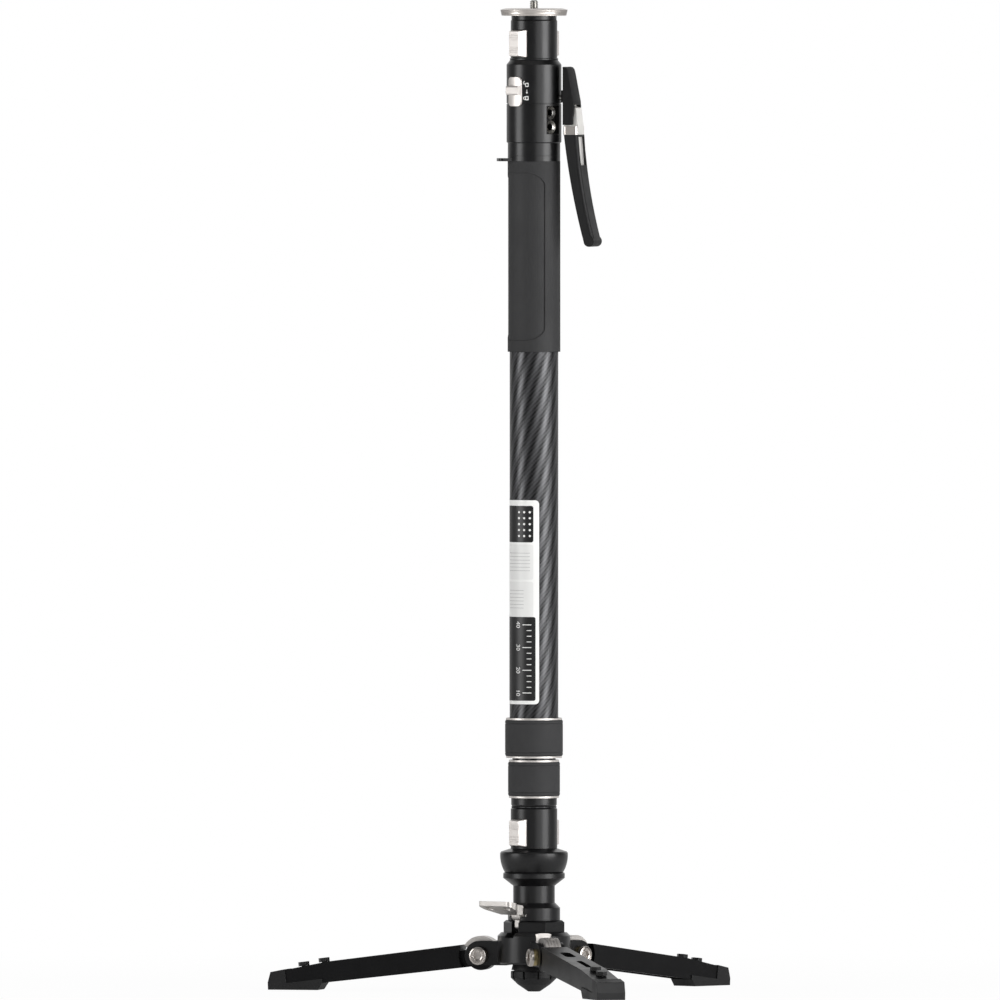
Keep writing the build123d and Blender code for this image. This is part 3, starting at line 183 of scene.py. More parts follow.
# moulded nitrile rubber: matt charcoal with a fine pebble
rubber = {
    "colour": "#2a2a2b", "colourWorn": "#303031", "metallic": 0.0, "roughness": 0.78, "glossSpread": 0.04,
    "ior": 1.5, "grainSize": 0.7, "patchSize": 20, "grainDepth": 0.6, "edgeRadius": 0.5,
}
# black moulded rubber of the feet and lever: darker, with a soft gloss
footRubber = {
    "colour": "#101011", "colourWorn": "#161617", "metallic": 0.0, "roughness": 0.52, "glossSpread": 0.05,
    "ior": 1.5, "specular": 0.34, "grainSize": 0.8, "patchSize": 16, "grainDepth": 0.35, "edgeRadius": 0.5,
}
# the lever's own rubber, washed matt
leverRubber = dict(footRubber, colour="#0c0c0d", colourWorn="#111112", specular=0.28)
# glass filled nylon, injection moulded: satin black
nylon = {
    "colour": "#0e0e0f", "colourWorn": "#131314", "metallic": 0.0, "roughness": 0.42, "glossSpread": 0.05,
    "ior": 1.53, "grainSize": 0.5, "patchSize": 12, "grainDepth": 0.25, "edgeRadius": 0.4,
}
# the same nylon from a spark-eroded mould: a dull black that scatters the light
mattNylon = dict(nylon, roughness=0.6, specular=0.2, grainDepth=0.5)


def makePlain(name, finish):
    material, tree, shader = startMaterial(name, finish)
    addGrain(tree, shader, finish)
    return material


def makeTurned(name, finish):  # the tool's lines run round the mast
    material, tree, shader = startMaterial(name, finish)
    addGrain(tree, shader, finish)
    bump = shader.inputs["Normal"].links[0].from_node
    place = addNode(tree, "SeparateXYZ", {}, {0: objectPlace(tree)})
    flat = addNode(tree, "CombineXYZ", {}, {"X": place.outputs["X"], "Y": place.outputs["Y"]})
    out = addNode(tree, "VectorMath", {"operation": "LENGTH"}, {0: flat.outputs[0]})
    across = addNode(tree, "CombineXYZ", {}, {"X": out.outputs["Value"], "Y": place.outputs["Z"]})
    lines = addNode(
        tree, "TexNoise", {"Scale": 1000 / finish["lineWide"], "Detail": 1}, {"Vector": across.outputs[0]}
    )
    cut = addNode(
        tree, "Bump", {"Strength": finish["lineDepth"], "Distance": finish["lineRise"] * mm},
        {"Height": lines.outputs["Fac"], "Normal": bump.outputs["Normal"]},
    )
    tree.links.new(cut.outputs["Normal"], shader.inputs["Normal"])
    return material


blackAnodised = makePlain("blackAnodisedAluminium", anodised)
turnedAluminium = makeTurned("turnedAluminium", machined)
bareAluminium = makePlain("machinedAluminium", machined)
satinAluminium = makePlain("blastedAluminium", blasted)
silverAluminium = makePlain("clearAnodisedAluminium", silver)
leverAluminium = makePlain("polishedAnodisedAluminium", leverSilver)
steelTumbled = makePlain("tumbledSteel", steel)
legBlack = makePlain("dullAnodisedAluminium", legAnodised)
darkSteel = makePlain("blackenedSteel", blackened)
zincYellow = makePlain("yellowZincPlate", brass)
collarRubber = makePlain("pebbledRubber", rubber)
blackRubber = makePlain("blackMouldedRubber", footRubber)
leverSkin = makePlain("mattLeverRubber", leverRubber)
blackNylon = makePlain("blackNylon", nylon)
dullNylon = makePlain("sparkErodedNylon", mattNylon)

# woven carbon under satin resin: a fine 2 by 2 twill, with steep bands of painted sheen in the base colour,
# dark to pale, where the real threads catch the light in turn; the threads shine as a dull metal does
carbon = {
    "colour": "#2a2a2b", "weaveSheenDark": "#0b0b0c", "weaveSheenPale": "#525254", "metallic": 0.7, "roughness": 0.36,
    "coat": 0.1, "coatRoughness": 0.3, "threadWide": 0.8, "threadDepth": 0.3, "threadSwing": 0.3,
    "threadRise": 0.1, "bandLean": 0.35, "bandPitch": 7.0, "sheenBandSwing": 0.36,
    "upperRadius": 18, "middleRadius": 16, "lowerRadius": 14,
}


def makeCarbon(name, radius):
    material, tree, shader = startMaterial(name, carbon)
    place = addNode(tree, "SeparateXYZ", {}, {0: objectPlace(tree)})
    turn = addNode(tree, "Math", {"operation": "ARCTAN2"}, {0: place.outputs["Y"], 1: place.outputs["X"]})
    threadsRound = round(math.tau * radius / carbon["threadWide"] / 4) * 4
    bandsRound = round(math.tau * radius / carbon["bandPitch"])
    perTurn = threadsRound / math.tau
    perHeight = 1000 / carbon["threadWide"]
    leanPerHeight = 1000 * carbon["bandLean"] / radius
    across = addNode(tree, "Math", {"operation": "MULTIPLY", 1: perTurn}, {0: turn.outputs[0]})
    up = addNode(tree, "Math", {"operation": "MULTIPLY", 1: perHeight}, {0: place.outputs["Z"]})
    column = addNode(tree, "Math", {"operation": "FLOOR"}, {0: across.outputs[0]})
    row = addNode(tree, "Math", {"operation": "FLOOR"}, {0: up.outputs[0]})
    step = addNode(tree, "Math", {"operation": "SUBTRACT"}, {0: column.outputs[0], 1: row.outputs[0]})
    quarter = addNode(tree, "Math", {"operation": "FLOORED_MODULO", 1: 4.0}, {0: step.outputs[0]})
    over = addNode(tree, "Math", {"operation": "LESS_THAN", 1: 2.0}, {0: quarter.outputs[0]})
    # steep leaning bands of painted sheen, standing for where the rolled cloth turns its threads towards the
    # light
    lean = addNode(tree, "Math", {"operation": "MULTIPLY", 1: leanPerHeight}, {0: place.outputs["Z"]})
    sweep = addNode(tree, "Math", {"operation": "SUBTRACT"}, {0: turn.outputs[0], 1: lean.outputs[0]})
    wave = addNode(tree, "Math", {"operation": "MULTIPLY", 1: bandsRound}, {0: sweep.outputs[0]})
    swing = addNode(tree, "Math", {"operation": "SINE"}, {0: wave.outputs[0]})
    sheenBand = addNode(
        tree, "Math", {"operation": "MULTIPLY_ADD", 1: carbon["sheenBandSwing"], 2: 0.5}, {0: swing.outputs[0]}
    )
    thread = addNode(tree, "Math", {"operation": "SUBTRACT", 1: 0.5}, {0: over.outputs[0]})
    level = addNode(
        tree, "Math", {"operation": "MULTIPLY_ADD", 1: carbon["threadSwing"]},
        {0: thread.outputs[0], 2: sheenBand.outputs[0]},
    )
    # the base colour mixes the twill's own pattern of threads with the painted sheen of the bands
    weaveSheenTint = addNode(tree, "Mix", {"data_type": "RGBA"}, {"Factor": level.outputs[0]})
    weaveSheenTint.inputs[6].default_value = linear(carbon["weaveSheenDark"])
    weaveSheenTint.inputs[7].default_value = linear(carbon["weaveSheenPale"])
    tree.links.new(weaveSheenTint.outputs[2], shader.inputs["Base Color"])
    threadAcross = addNode(tree, "Math", {"operation": "PINGPONG", 1: 0.5}, {0: across.outputs[0]})
    threadUp = addNode(tree, "Math", {"operation": "PINGPONG", 1: 0.5}, {0: up.outputs[0]})
    crown = addNode(
        tree, "Mix", {"data_type": "FLOAT"},
        {"Factor": over.outputs[0], 2: threadUp.outputs[0], 3: threadAcross.outputs[0]},
    )
    bump = addNode(
        tree, "Bump", {"Strength": carbon["threadDepth"], "Distance": carbon["threadRise"] * mm},
        {"Height": crown.outputs[0]},
    )
    tree.links.new(bump.outputs["Normal"], shader.inputs["Normal"])
    return material


upperWeave = makeCarbon("twillCarbonUpper", carbon["upperRadius"])
middleWeave = makeCarbon("twillCarbonMiddle", carbon["middleRadius"])
lowerWeave = makeCarbon("twillCarbonLower", carbon["lowerRadius"])

# hand grip of moulded rubber with a fine woven emboss: a matt charcoal grid
gripSkin = {
    "colour": "#222223", "colourWorn": "#272728", "metallic": 0.0, "roughness": 0.7, "glossSpread": 0.04,
    "ior": 1.5, "grainSize": 0.6, "patchSize": 30, "grainDepth": 0.25, "edgeRadius": 0.6,
    "gridPitch": 1.7, "gridDepth": 0.22, "gridRise": 0.2, "gripRadius": 19.5,
}


def makeGrip(name):
    material, tree, shader = startMaterial(name, gripSkin)
    addGrain(tree, shader, gripSkin)
    bump = shader.inputs["Normal"].links[0].from_node
    place = addNode(tree, "SeparateXYZ", {}, {0: objectPlace(tree)})
    turn = addNode(tree, "Math", {"operation": "ARCTAN2"}, {0: place.outputs["Y"], 1: place.outputs["X"]})
    around = gripSkin["gripRadius"] / gripSkin["gridPitch"]
    across = addNode(tree, "Math", {"operation": "MULTIPLY", 1: around}, {0: turn.outputs[0]})
    up = addNode(
        tree, "Math", {"operation": "MULTIPLY", 1: 1000 / gripSkin["gridPitch"]}, {0: place.outputs["Z"]}
    )
    ridgeAcross = addNode(tree, "Math", {"operation": "PINGPONG", 1: 0.5}, {0: across.outputs[0]})
    ridgeUp = addNode(tree, "Math", {"operation": "PINGPONG", 1: 0.5}, {0: up.outputs[0]})
    ridge = addNode(
        tree, "Math", {"operation": "MINIMUM"}, {0: ridgeAcross.outputs[0], 1: ridgeUp.outputs[0]}
    )
    grid = addNode(
        tree, "Bump", {"Strength": gripSkin["gridDepth"], "Distance": gripSkin["gridRise"] * mm},
        {"Height": ridge.outputs[0], "Normal": bump.outputs["Normal"]},
    )
    tree.links.new(grid.outputs["Normal"], shader.inputs["Normal"])
    return material


gripRubber = makeGrip("embossedGripRubber")

# printed vinyl: a satin film in white, pale, grey and near black, each ink with its own tone
# and the slightly duller one of its worn patches
printInks = {
    "white": ("#f6f6f4", "#f0f0ee"), "pale": ("#ebebe9", "#e5e5e3"),
    "grey": ("#a2a2a2", "#9c9c9c"), "black": ("#151516", "#191919"),
}


def makePrint(name, ink):
    finish = {
        "colour": printInks[ink][0], "colourWorn": printInks[ink][1], "metallic": 0.0, "roughness": 0.38,
        "glossSpread": 0.02, "ior": 1.46, "grainSize": 0.5, "patchSize": 25, "grainDepth": 0.04,
        "edgeRadius": 0.05,
    }
    return makePlain(name, finish)


prints = {ink: makePrint("vinyl_" + ink, ink) for ink in printInks}
print("materials made")

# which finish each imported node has
finishes = {
    blackAnodised: [
        "hub_body", "hub_collar", "column_body", "tilt_cup", "half_ball", "lower_receiver", "lower_fitting",
        "upper_receiver", "handle_body", "handle_cap", "strap_ring", "middle_ferrule", "upper_ferrule",
    ],
    legBlack: ["leg_arm_rear", "leg_arm_front_right", "leg_arm_front_left"],
    silverAluminium: [
        "lower_button_front", "lower_button_rear", "upper_button_front", "upper_button_rear", "lock_slider",
        "lower_collar_sleeve", "upper_collar_sleeve",
    ],
    leverAluminium: ["lever_arm"],
    turnedAluminium: ["head_plate"],
    satinAluminium: ["foot_pedal", "leg_crown_rear", "leg_crown_front_right", "leg_crown_front_left"],
    steelTumbled: [
        "pivot_bolts", "foot_stud", "pedal_pin", "spring_stack", "brake_wedge", "brake_rod", "lever_pin",
        "lock_pin", "camera_stud",
    ],
    zincYellow: ["pivot_washers"],
    collarRubber: ["lower_collar_grip", "upper_collar_grip"],
    leverSkin: ["lever_grip"],
    blackRubber: ["centre_foot", "leg_boot_rear", "leg_boot_front_right", "leg_boot_front_left"],
    blackNylon: [
        "brake_head", "friction_dish", "lower_bush", "middle_bush", "lower_wedge", "upper_wedge",
        "lever_housing", "leg_studs_rear", "leg_studs_front_right", "leg_studs_front_left",
    ],
    gripRubber: ["grip_sleeve"],
    upperWeave: ["upper_tube"],
    middleWeave: ["middle_tube"],
    lowerWeave: ["lower_tube"],
}
for finish, names in finishes.items():
    for name in names:
        mesh = nodes[name].data
        mesh.materials.clear()
        mesh.materials.append(finish)
        smoothen(mesh)


def paintFaces(name, material, chosen):  # a second finish on the faces of a node that chosen picks
    mesh = nodes[name].data
    mesh.materials.append(material)
    for face in mesh.polygons:
        if chosen(face.center, face.normal):
            face.material_index = len(mesh.materials) - 1


# the head plate's black underside, bright steel on the port's countersink cones as a painted highlight of
# their chamfers, the lever arm's side faces in its band as painted shade in a darker machined finish, and the
# hub's bare flats over the legs, found by places in millimetres and by how the faces slope
painted = {
    "plateThick": 5.4, "portFloor": 15.5, "portRim": 17.3, "portHalf": 6.7, "chamferGlintSlope": (0.2, 0.97),
    "leverTurn": 25, "shadedBandAbove": 0.9, "shadedBandBelow": 0.1, "shadedSideSlope": 0.6, "legTurns": (-30, 90, 210),
    "flatOut": 24.4, "flatSlack": 0.5, "flatSlope": 0.999,
}
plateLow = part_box("head_plate")[1].z - painted["plateThick"] * mm
paintFaces("head_plate", blackAnodised, lambda place, normal: place.z < plateLow)
portFloor, portRim, portHalf = (painted[key] * mm for key in ("portFloor", "portRim", "portHalf"))
leastSlope, mostSlope = painted["chamferGlintSlope"]
# the port's countersink cones get bright steel: a painted highlight standing for the glints on their chamfers
paintFaces(
    "handle_body", steelTumbled,
    lambda place, normal: portFloor < place.x < portRim and abs(place.y) < portHalf
    and leastSlope < normal.x < mostSlope,
)
leverTurn = math.radians(painted["leverTurn"])
leverSide = Vector((-math.sin(leverTurn), math.cos(leverTurn), 0))
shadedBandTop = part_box("lever_housing")[0].z - painted["shadedBandAbove"] * mm
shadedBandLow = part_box("lever_grip")[1].z - painted["shadedBandBelow"] * mm
# painted shade: the arm's two side faces between housing and grip get the darker machined finish
paintFaces(
    "lever_arm", bareAluminium,
    lambda place, normal: abs(normal.dot(leverSide)) > painted["shadedSideSlope"] and shadedBandLow < place.z < shadedBandTop,
)
legAngles = [math.radians(turn) for turn in painted["legTurns"]]
legWays = [Vector((math.cos(angle), math.sin(angle), 0)) for angle in legAngles]
flatOut = painted["flatOut"] * mm
flatSlack = painted["flatSlack"] * mm
flatSlope = painted["flatSlope"]
paintFaces(
    "hub_body", silverAluminium,
    lambda place, normal: any(
        normal.dot(way) > flatSlope and abs(place.dot(way) - flatOut) < flatSlack for way in legWays
    ),
)
print("node finishes set")


# flat outlines in millimetres, wrapped round the mast

def roundedBox(width, height, corner, centre=(0, 0), steps=6):
    points = []
    for quarter, (sx, sz) in enumerate(((1, 1), (-1, 1), (-1, -1), (1, -1))):
        for step in range(steps + 1):
            angle = math.radians(90 * (quarter + step / steps))
            x = centre[0] + sx * (width / 2 - corner) + corner * math.cos(angle)
            z = centre[1] + sz * (height / 2 - corner) + corner * math.sin(angle)
            points.append((x, z))
    return points


def arcBand(radius, width, start, end, centre, steps=14):
    sides = []
    for reach in (radius + width / 2, radius - width / 2):
        angles = [math.radians(start + (end - start) * step / steps) for step in range(steps + 1)]
        sides.append([(centre[0] + reach * math.cos(a), centre[1] + reach * math.sin(a)) for a in angles])
    return sides[0] + sides[1][::-1]


stripWide = 1.2  # widest strip of a wrapped sheet, in millimetres


def wrapOutlines(name, outlines, wrap, material, body):
    bm = bmesh.new()
    for outline in outlines:
        faces = [bm.faces.new([bm.verts.new((x, 0, z)) for x, z in outline])]
        bmesh.ops.triangulate(bm, faces=faces)
    lowest = min(v.co.x for v in bm.verts)
    highest = max(v.co.x for v in bm.verts)
    for cut in range(1, int((highest - lowest) / stripWide) + 1):
        everything = bm.verts[:] + bm.edges[:] + bm.faces[:]
        here = (lowest + cut * stripWide, 0, 0)
        bmesh.ops.bisect_plane(bm, geom=everything, plane_co=here, plane_no=(1, 0, 0))
    grown = bmesh.ops.extrude_face_region(bm, geom=bm.faces[:])
    for element in grown["geom"]:
        if isinstance(element, bmesh.types.BMVert):
            element.co.y = wrap["thick"]
    for v in bm.verts:
        radius = wrap["radius"] + v.co.y
        angle = math.radians(wrap["turn"]) + v.co.x / wrap["radius"]
        height = wrap["height"] + v.co.z
        v.co = Vector((radius * math.cos(angle), radius * math.sin(angle), height)) * mm
    bmesh.ops.recalc_face_normals(bm, faces=bm.faces[:])
    piece = heldObject(name, bm)
    smoothen(piece.data)
    dress(piece, material, body)


def numberOutlines(text, size, centre):  # reads downwards, as the marks on the mast do
    curve = bpy.data.curves.new("number", "FONT")
    curve.body = text
    curve.size = size
    curve.align_x = "CENTER"
    curve.align_y = "CENTER"
    holder = bpy.data.objects.new("number", curve)
    bpy.context.scene.collection.objects.link(holder)
    mesh = bpy.data.meshes.new_from_object(holder)
    outlines = []
    for face in mesh.polygons:
        points = [mesh.vertices[i].co for i in face.vertices]
        outlines.append([(centre[0] + p.y, centre[1] - p.x) for p in points])
    bpy.data.objects.remove(holder)
    bpy.data.meshes.remove(mesh)
    return outlines


# the label: a white framed film, a dark panel of dots, two pale panels of rules and a dark scale panel
label = {
    "turn": -90, "width": 35.0, "height": 151.0, "middle": 288.5, "corner": 3.0, "film": 0.12, "frame": 2.6,
    "lift": 0.02, "ink": 0.05, "panelGap": 1.6, "panelCorner": 1.6, "darkHeight": 27.0, "paleHeight": 26.0,
    "lowerHeight": 62.0, "dotSize": 1.7, "dotPitch": 4.4, "dotRows": 5, "dotColumns": 3, "dotInset": 13,
    "tickCount": 13, "tickPitch": 4.2, "tickWidth": 0.55, "tickLong": 7.0, "tickShort": 3.6,
    "tickCorner": 0.2, "tickInset": 3, "tickGroup": 4, "numberSize": 5.0, "numberInset": 14, "numberStep": 10,
    "ruleCount": 6, "rulePitch": 2.6, "ruleWidth": 0.25, "ruleInset": 4, "ruleShorter": 5,
}


def makeLabel():
    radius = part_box("upper_tube")[1].x / mm + label["lift"]
    film = {"turn": label["turn"], "radius": radius, "height": label["middle"], "thick": label["film"]}
    panels = dict(film, radius=film["radius"] + label["film"], thick=label["ink"])
    marks = dict(panels, radius=panels["radius"] + label["ink"])
    inner = label["width"] - 2 * label["frame"]
    narrow = inner - 2 * label["panelGap"]
    top = label["height"] / 2 - label["frame"]
    corner = label["panelCorner"]
    darkMiddle = top - label["panelGap"] - label["darkHeight"] / 2
    paleTop = top - 2 * label["panelGap"] - label["darkHeight"]
    paleStep = label["paleHeight"] + label["panelGap"]
    paleMiddles = [paleTop - label["paleHeight"] / 2 - index * paleStep for index in range(2)]
    lowerMiddle = -top + label["lowerHeight"] / 2
    whiteMarks = []
    for row in range(label["dotRows"]):
        for column in range(label["dotColumns"]):
            x = inner / 2 - label["dotInset"] + label["dotPitch"] * column
            z = darkMiddle + label["dotPitch"] * (row - (label["dotRows"] - 1) / 2)
            whiteMarks.append(roundedBox(label["dotSize"], label["dotSize"], label["dotSize"] / 2, (x, z)))
    for index in range(label["tickCount"]):
        z = lowerMiddle + (index - (label["tickCount"] - 1) / 2) * label["tickPitch"]
        numbered = index % label["tickGroup"] == 0
        length = label["tickLong"] if numbered else label["tickShort"]
        x = inner / 2 - label["tickInset"] - length / 2
        whiteMarks.append(roundedBox(length, label["tickWidth"], label["tickCorner"], (x, z)))
        if numbered:
            number = str(label["numberStep"] * (1 + index // label["tickGroup"]))
            whiteMarks += numberOutlines(number, label["numberSize"], (inner / 2 - label["numberInset"], z))
    greyMarks = []
    for panel, middle in enumerate(paleMiddles):  # the second panel's rules are shorter
        left = -inner / 2 + label["ruleInset"]
        right = inner / 2 - label["ruleInset"] - label["ruleShorter"] * panel
        for index in range(label["ruleCount"]):
            low = middle + (index - (label["ruleCount"] - 1) / 2) * label["rulePitch"]
            high = low + label["ruleWidth"]
            greyMarks.append([(left, low), (right, low), (right, high), (left, high)])
    dark = [
        roundedBox(narrow, label["darkHeight"], corner, (0, darkMiddle)),
        roundedBox(inner, label["lowerHeight"], corner, (0, lowerMiddle)),
    ]
    pale = [roundedBox(narrow, label["paleHeight"], corner, (0, z)) for z in paleMiddles]
    layers = (
        ("labelFilm", [roundedBox(label["width"], label["height"], label["corner"])], film, "white"),
        ("labelDarkPanels", dark, panels, "black"),
        ("labelPalePanels", pale, panels, "pale"),
        ("labelWhiteMarks", whiteMarks, marks, "white"),
        ("labelGreyRules", greyMarks, marks, "grey"),
    )
    for name, outlines, wrap, ink in layers:
        wrapOutlines(name, outlines, wrap, prints[ink], "section_1")


makeLabel()
print("label made")

# printed padlocks and arrow beside the slider, lying on their side
signs = {
    "turn": -61.5, "top": 671.2, "pitch": 9.8, "lift": 0.01, "ink": 0.05, "bodyWide": 3.0, "bodyHigh": 2.5,
    "bodyCorner": 0.4, "holeCorner": 0.2, "wall": 0.55, "loop": 1.0, "line": 0.5, "loopRise": 0.4,
    "openShift": 1.6, "legHigh": 0.8, "legDrop": 0.3, "legCorner": 0.05, "arrowHalf": 0.9, "arrowNeck": 0.4,
    "arrowTip": 1.8, "tailWide": 0.5, "tailHigh": 1.6, "tailCorner": 0.1, "tailRise": 0.6,
}


def padlockOutlines(opened):
    loopZ = signs["bodyHigh"] / 2 + signs["loopRise"]
    loopX = signs["openShift"] if opened else 0.0
    wide, high, wall = signs["bodyWide"], signs["bodyHigh"], signs["wall"]
    body = roundedBox(wide, high, signs["bodyCorner"])
    hole = roundedBox(wide - 2 * wall, high - 2 * wall, signs["holeCorner"])
    outlines = []
    for start in range(len(body)):
        end = (start + 1) % len(body)
        outlines.append([body[start], body[end], hole[end], hole[start]])
    outlines.append(arcBand(signs["loop"], signs["line"], 0, 180, (loopX, loopZ)))
    for side in (-1,) if opened else (-1, 1):  # an open padlock's loop hangs by one leg
        place = (loopX + side * signs["loop"], loopZ - signs["legDrop"])
        outlines.append(roundedBox(signs["line"], signs["legHigh"], signs["legCorner"], place))
    return outlines


def makeSigns():
    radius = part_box("handle_cap")[1].x / mm + signs["lift"]
    wrap = {"turn": signs["turn"], "radius": radius, "height": signs["top"], "thick": signs["ink"]}
    outlines = []
    for index, opened in enumerate((True, False)):
        middle = -index * signs["pitch"]
        for outline in padlockOutlines(opened):
            outlines.append([(-z, middle + x) for x, z in outline])
    middle = -signs["pitch"] / 2
    neck = middle - signs["arrowNeck"]
    half = signs["arrowHalf"]
    outlines.append([(-half, neck), (half, neck), (0, middle - signs["arrowTip"])])
    tail = (0, middle + signs["tailRise"])
    outlines.append(roundedBox(signs["tailWide"], signs["tailHigh"], signs["tailCorner"], tail))
    wrapOutlines("slideSigns", outlines, wrap, prints["white"], "section_1")


makeSigns()
print("signs made")


# turned rings from a profile of (radius, height) points, in millimetres

def turnProfile(name, profile, count, material, body, grow=lambda step: 0):
    bm = bmesh.new()
    rows = []
    for step in range(count):
        angle = math.tau * step / count
        way = Vector((math.cos(angle), math.sin(angle), 0))
        row = [bm.verts.new((way * (r + grow(step)) + Vector((0, 0, z))) * mm) for r, z in profile]
        rows.append(row)
    for step in range(count):
        here = rows[step]
        there = rows[(step + 1) % count]
        for k in range(len(profile)):
            after = (k + 1) % len(profile)
            bm.faces.new((here[k], there[k], there[after], here[after]))
    bmesh.ops.recalc_face_normals(bm, faces=bm.faces[:])
    piece = heldObject(name, bm)
    smoothen(piece.data)
    dress(piece, material, body)


# a knurled blackened ring in the groove over the lower receiver, and a bead under the upper one;
# each outline is (distance in from the ring's radius, height over its seat)
rings = {
    "knurlRadius": 16.5, "knurlTeeth": 90, "knurlDepth": 0.25, "knurlLift": 0.05,
    "knurlOutline": [(0.4, 0), (0, 0.2), (0, 0.9), (0.4, 1.1)],
    "beadRadius": 17.9, "beadSteps": 128, "beadLift": 0.02,
    "beadOutline": [(0.68, 0), (0.3, 0), (0, 0.4), (0, 1.1), (0.3, 1.5), (0.68, 1.5)],
}


def makeRings():
    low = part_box("lower_receiver")[1].z / mm + rings["knurlLift"]
    knurl = [(rings["knurlRadius"] - inward, low + rise) for inward, rise in rings["knurlOutline"]]
    turnProfile(
        "knurledRing", knurl, 4 * rings["knurlTeeth"], darkSteel, "mast_base",
        lambda step: rings["knurlDepth"] * (1 if step % 4 < 2 else 0),
    )
    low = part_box("handle_cap")[1].z / mm + rings["beadLift"]
    bead = [(rings["beadRadius"] - inward, low + rise) for inward, rise in rings["beadOutline"]]
    turnProfile("receiverBead", bead, rings["beadSteps"], blackAnodised, "section_1")


makeRings()
print("rings made")


# one object cut by another or joined to it, for good

def cutBy(piece, cutter, operation):
    cut = piece.modifiers.new("cut", "BOOLEAN")
    cut.operation = operation
    cut.object = cutter
    cut.solver = "EXACT"
    bpy.context.view_layer.update()
    finished = bpy.data.meshes.new_from_object(piece.evaluated_get(bpy.context.evaluated_depsgraph_get()))
    piece.modifiers.clear()
    piece.data = finished
    bpy.data.objects.remove(cutter)


# the camera stud with its quarter inch thread, 20 turns to the inch, and a screwdriver slot
stud = {
    "pitch": 1.27, "crest": 3.17, "root": 2.55, "stepsRound": 48, "stepsPerTurn": 8, "sunk": 1.0,
    "taper": 0.9, "taperIn": 0.5, "slotWidth": 1.1, "slotDepth": 1.4, "slotLength": 12,
}


def makeStud():
    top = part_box("camera_stud")[1].z / mm
    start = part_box("head_plate")[1].z / mm - stud["sunk"]
    rowCount = int((top - start) / stud["pitch"] * stud["stepsPerTurn"])
    bm = bmesh.new()
    rows = []
    for row in range(rowCount + 1):
        z = start + (top - start) * row / rowCount
        fade = min(1, (top - z) / stud["taper"])  # the thread runs out at the tip
        ring = []
        for step in range(stud["stepsRound"]):
            share = step / stud["stepsRound"]
            phase = ((z - start) / stud["pitch"] - share) % 1
            wave = abs(2 * phase - 1)
            radius = stud["root"] + (stud["crest"] - stud["root"]) * wave * fade
            radius -= stud["taperIn"] * (1 - fade)
            angle = math.tau * share
            ring.append(bm.verts.new(Vector((radius * math.cos(angle), radius * math.sin(angle), z)) * mm))
        rows.append(ring)
    for lower, upper in zip(rows, rows[1:]):
        for step in range(stud["stepsRound"]):
            after = (step + 1) % stud["stepsRound"]
            bm.faces.new((lower[step], lower[after], upper[after], upper[step]))
    bm.faces.new(rows[-1])
    bm.faces.new(rows[0][::-1])
    piece = heldObject("studThread", bm)
    slotForm = bmesh.new()
    bmesh.ops.create_cube(slotForm, size=1)
    for v in slotForm.verts:
        z = top + v.co.z * 2 * stud["slotDepth"]
        v.co = Vector((v.co.x * stud["slotLength"], v.co.y * stud["slotWidth"], z)) * mm
    cutBy(piece, heldObject("slotForm", slotForm), "DIFFERENCE")
    dress(piece, steelTumbled, "section_1")
    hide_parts("camera_stud")


makeStud()
print("stud made")

# the lever's housing: two cheeks with a rounded top and belly, a slot between them for the arm,
# and a foot on the handle; places are (distance from the mast's axis, height over the seam)
shroud = {
    "turn": 25, "half": 9.0, "slotHalf": 6.6, "riseOverSeam": 27.0, "edgeSoft": 0.7, "edgeSteps": 3,
    "rimSlack": 0.01, "rimFrom": 25.4,  # edges nearer to the mast than this stay sharp
    "outline": [
        (25.3, -16), (32.2, -16), (32.9, -15), (33.0, -11), (33.5, -8), (33.9, -5), (34.0, -2),
        (33.7, 1.5), (29.6, 22.5), (28.9, 25.0), (27.6, 26.6), (25.9, 27.0), (25.3, 27.0),
    ],
    "slotOutline": [(20, -20), (40, -20), (40, -1.2), (32.4, -1.2), (30.2, 8), (20, 8)],
    "footOutline": [(22.9, 0.6), (25.6, 0.6), (25.6, 9.6), (22.9, 9.6)], "footHalf": 5.5,
    "pinHeight": 4.3, "pinBore": 2.06, "pinPlace": 24, "pinDeep": 8, "pinSteps": 32,
}


def sideSolid(outline, half, seam):
    bm = bmesh.new()
    face = bm.faces.new([bm.verts.new((r, -half, seam + z)) for r, z in outline])
    grown = bmesh.ops.extrude_face_region(bm, geom=[face])
    moved = [v for v in grown["geom"] if isinstance(v, bmesh.types.BMVert)]
    bmesh.ops.translate(bm, vec=(0, 2 * half, 0), verts=moved)
    bmesh.ops.recalc_face_normals(bm, faces=bm.faces[:])
    return bm


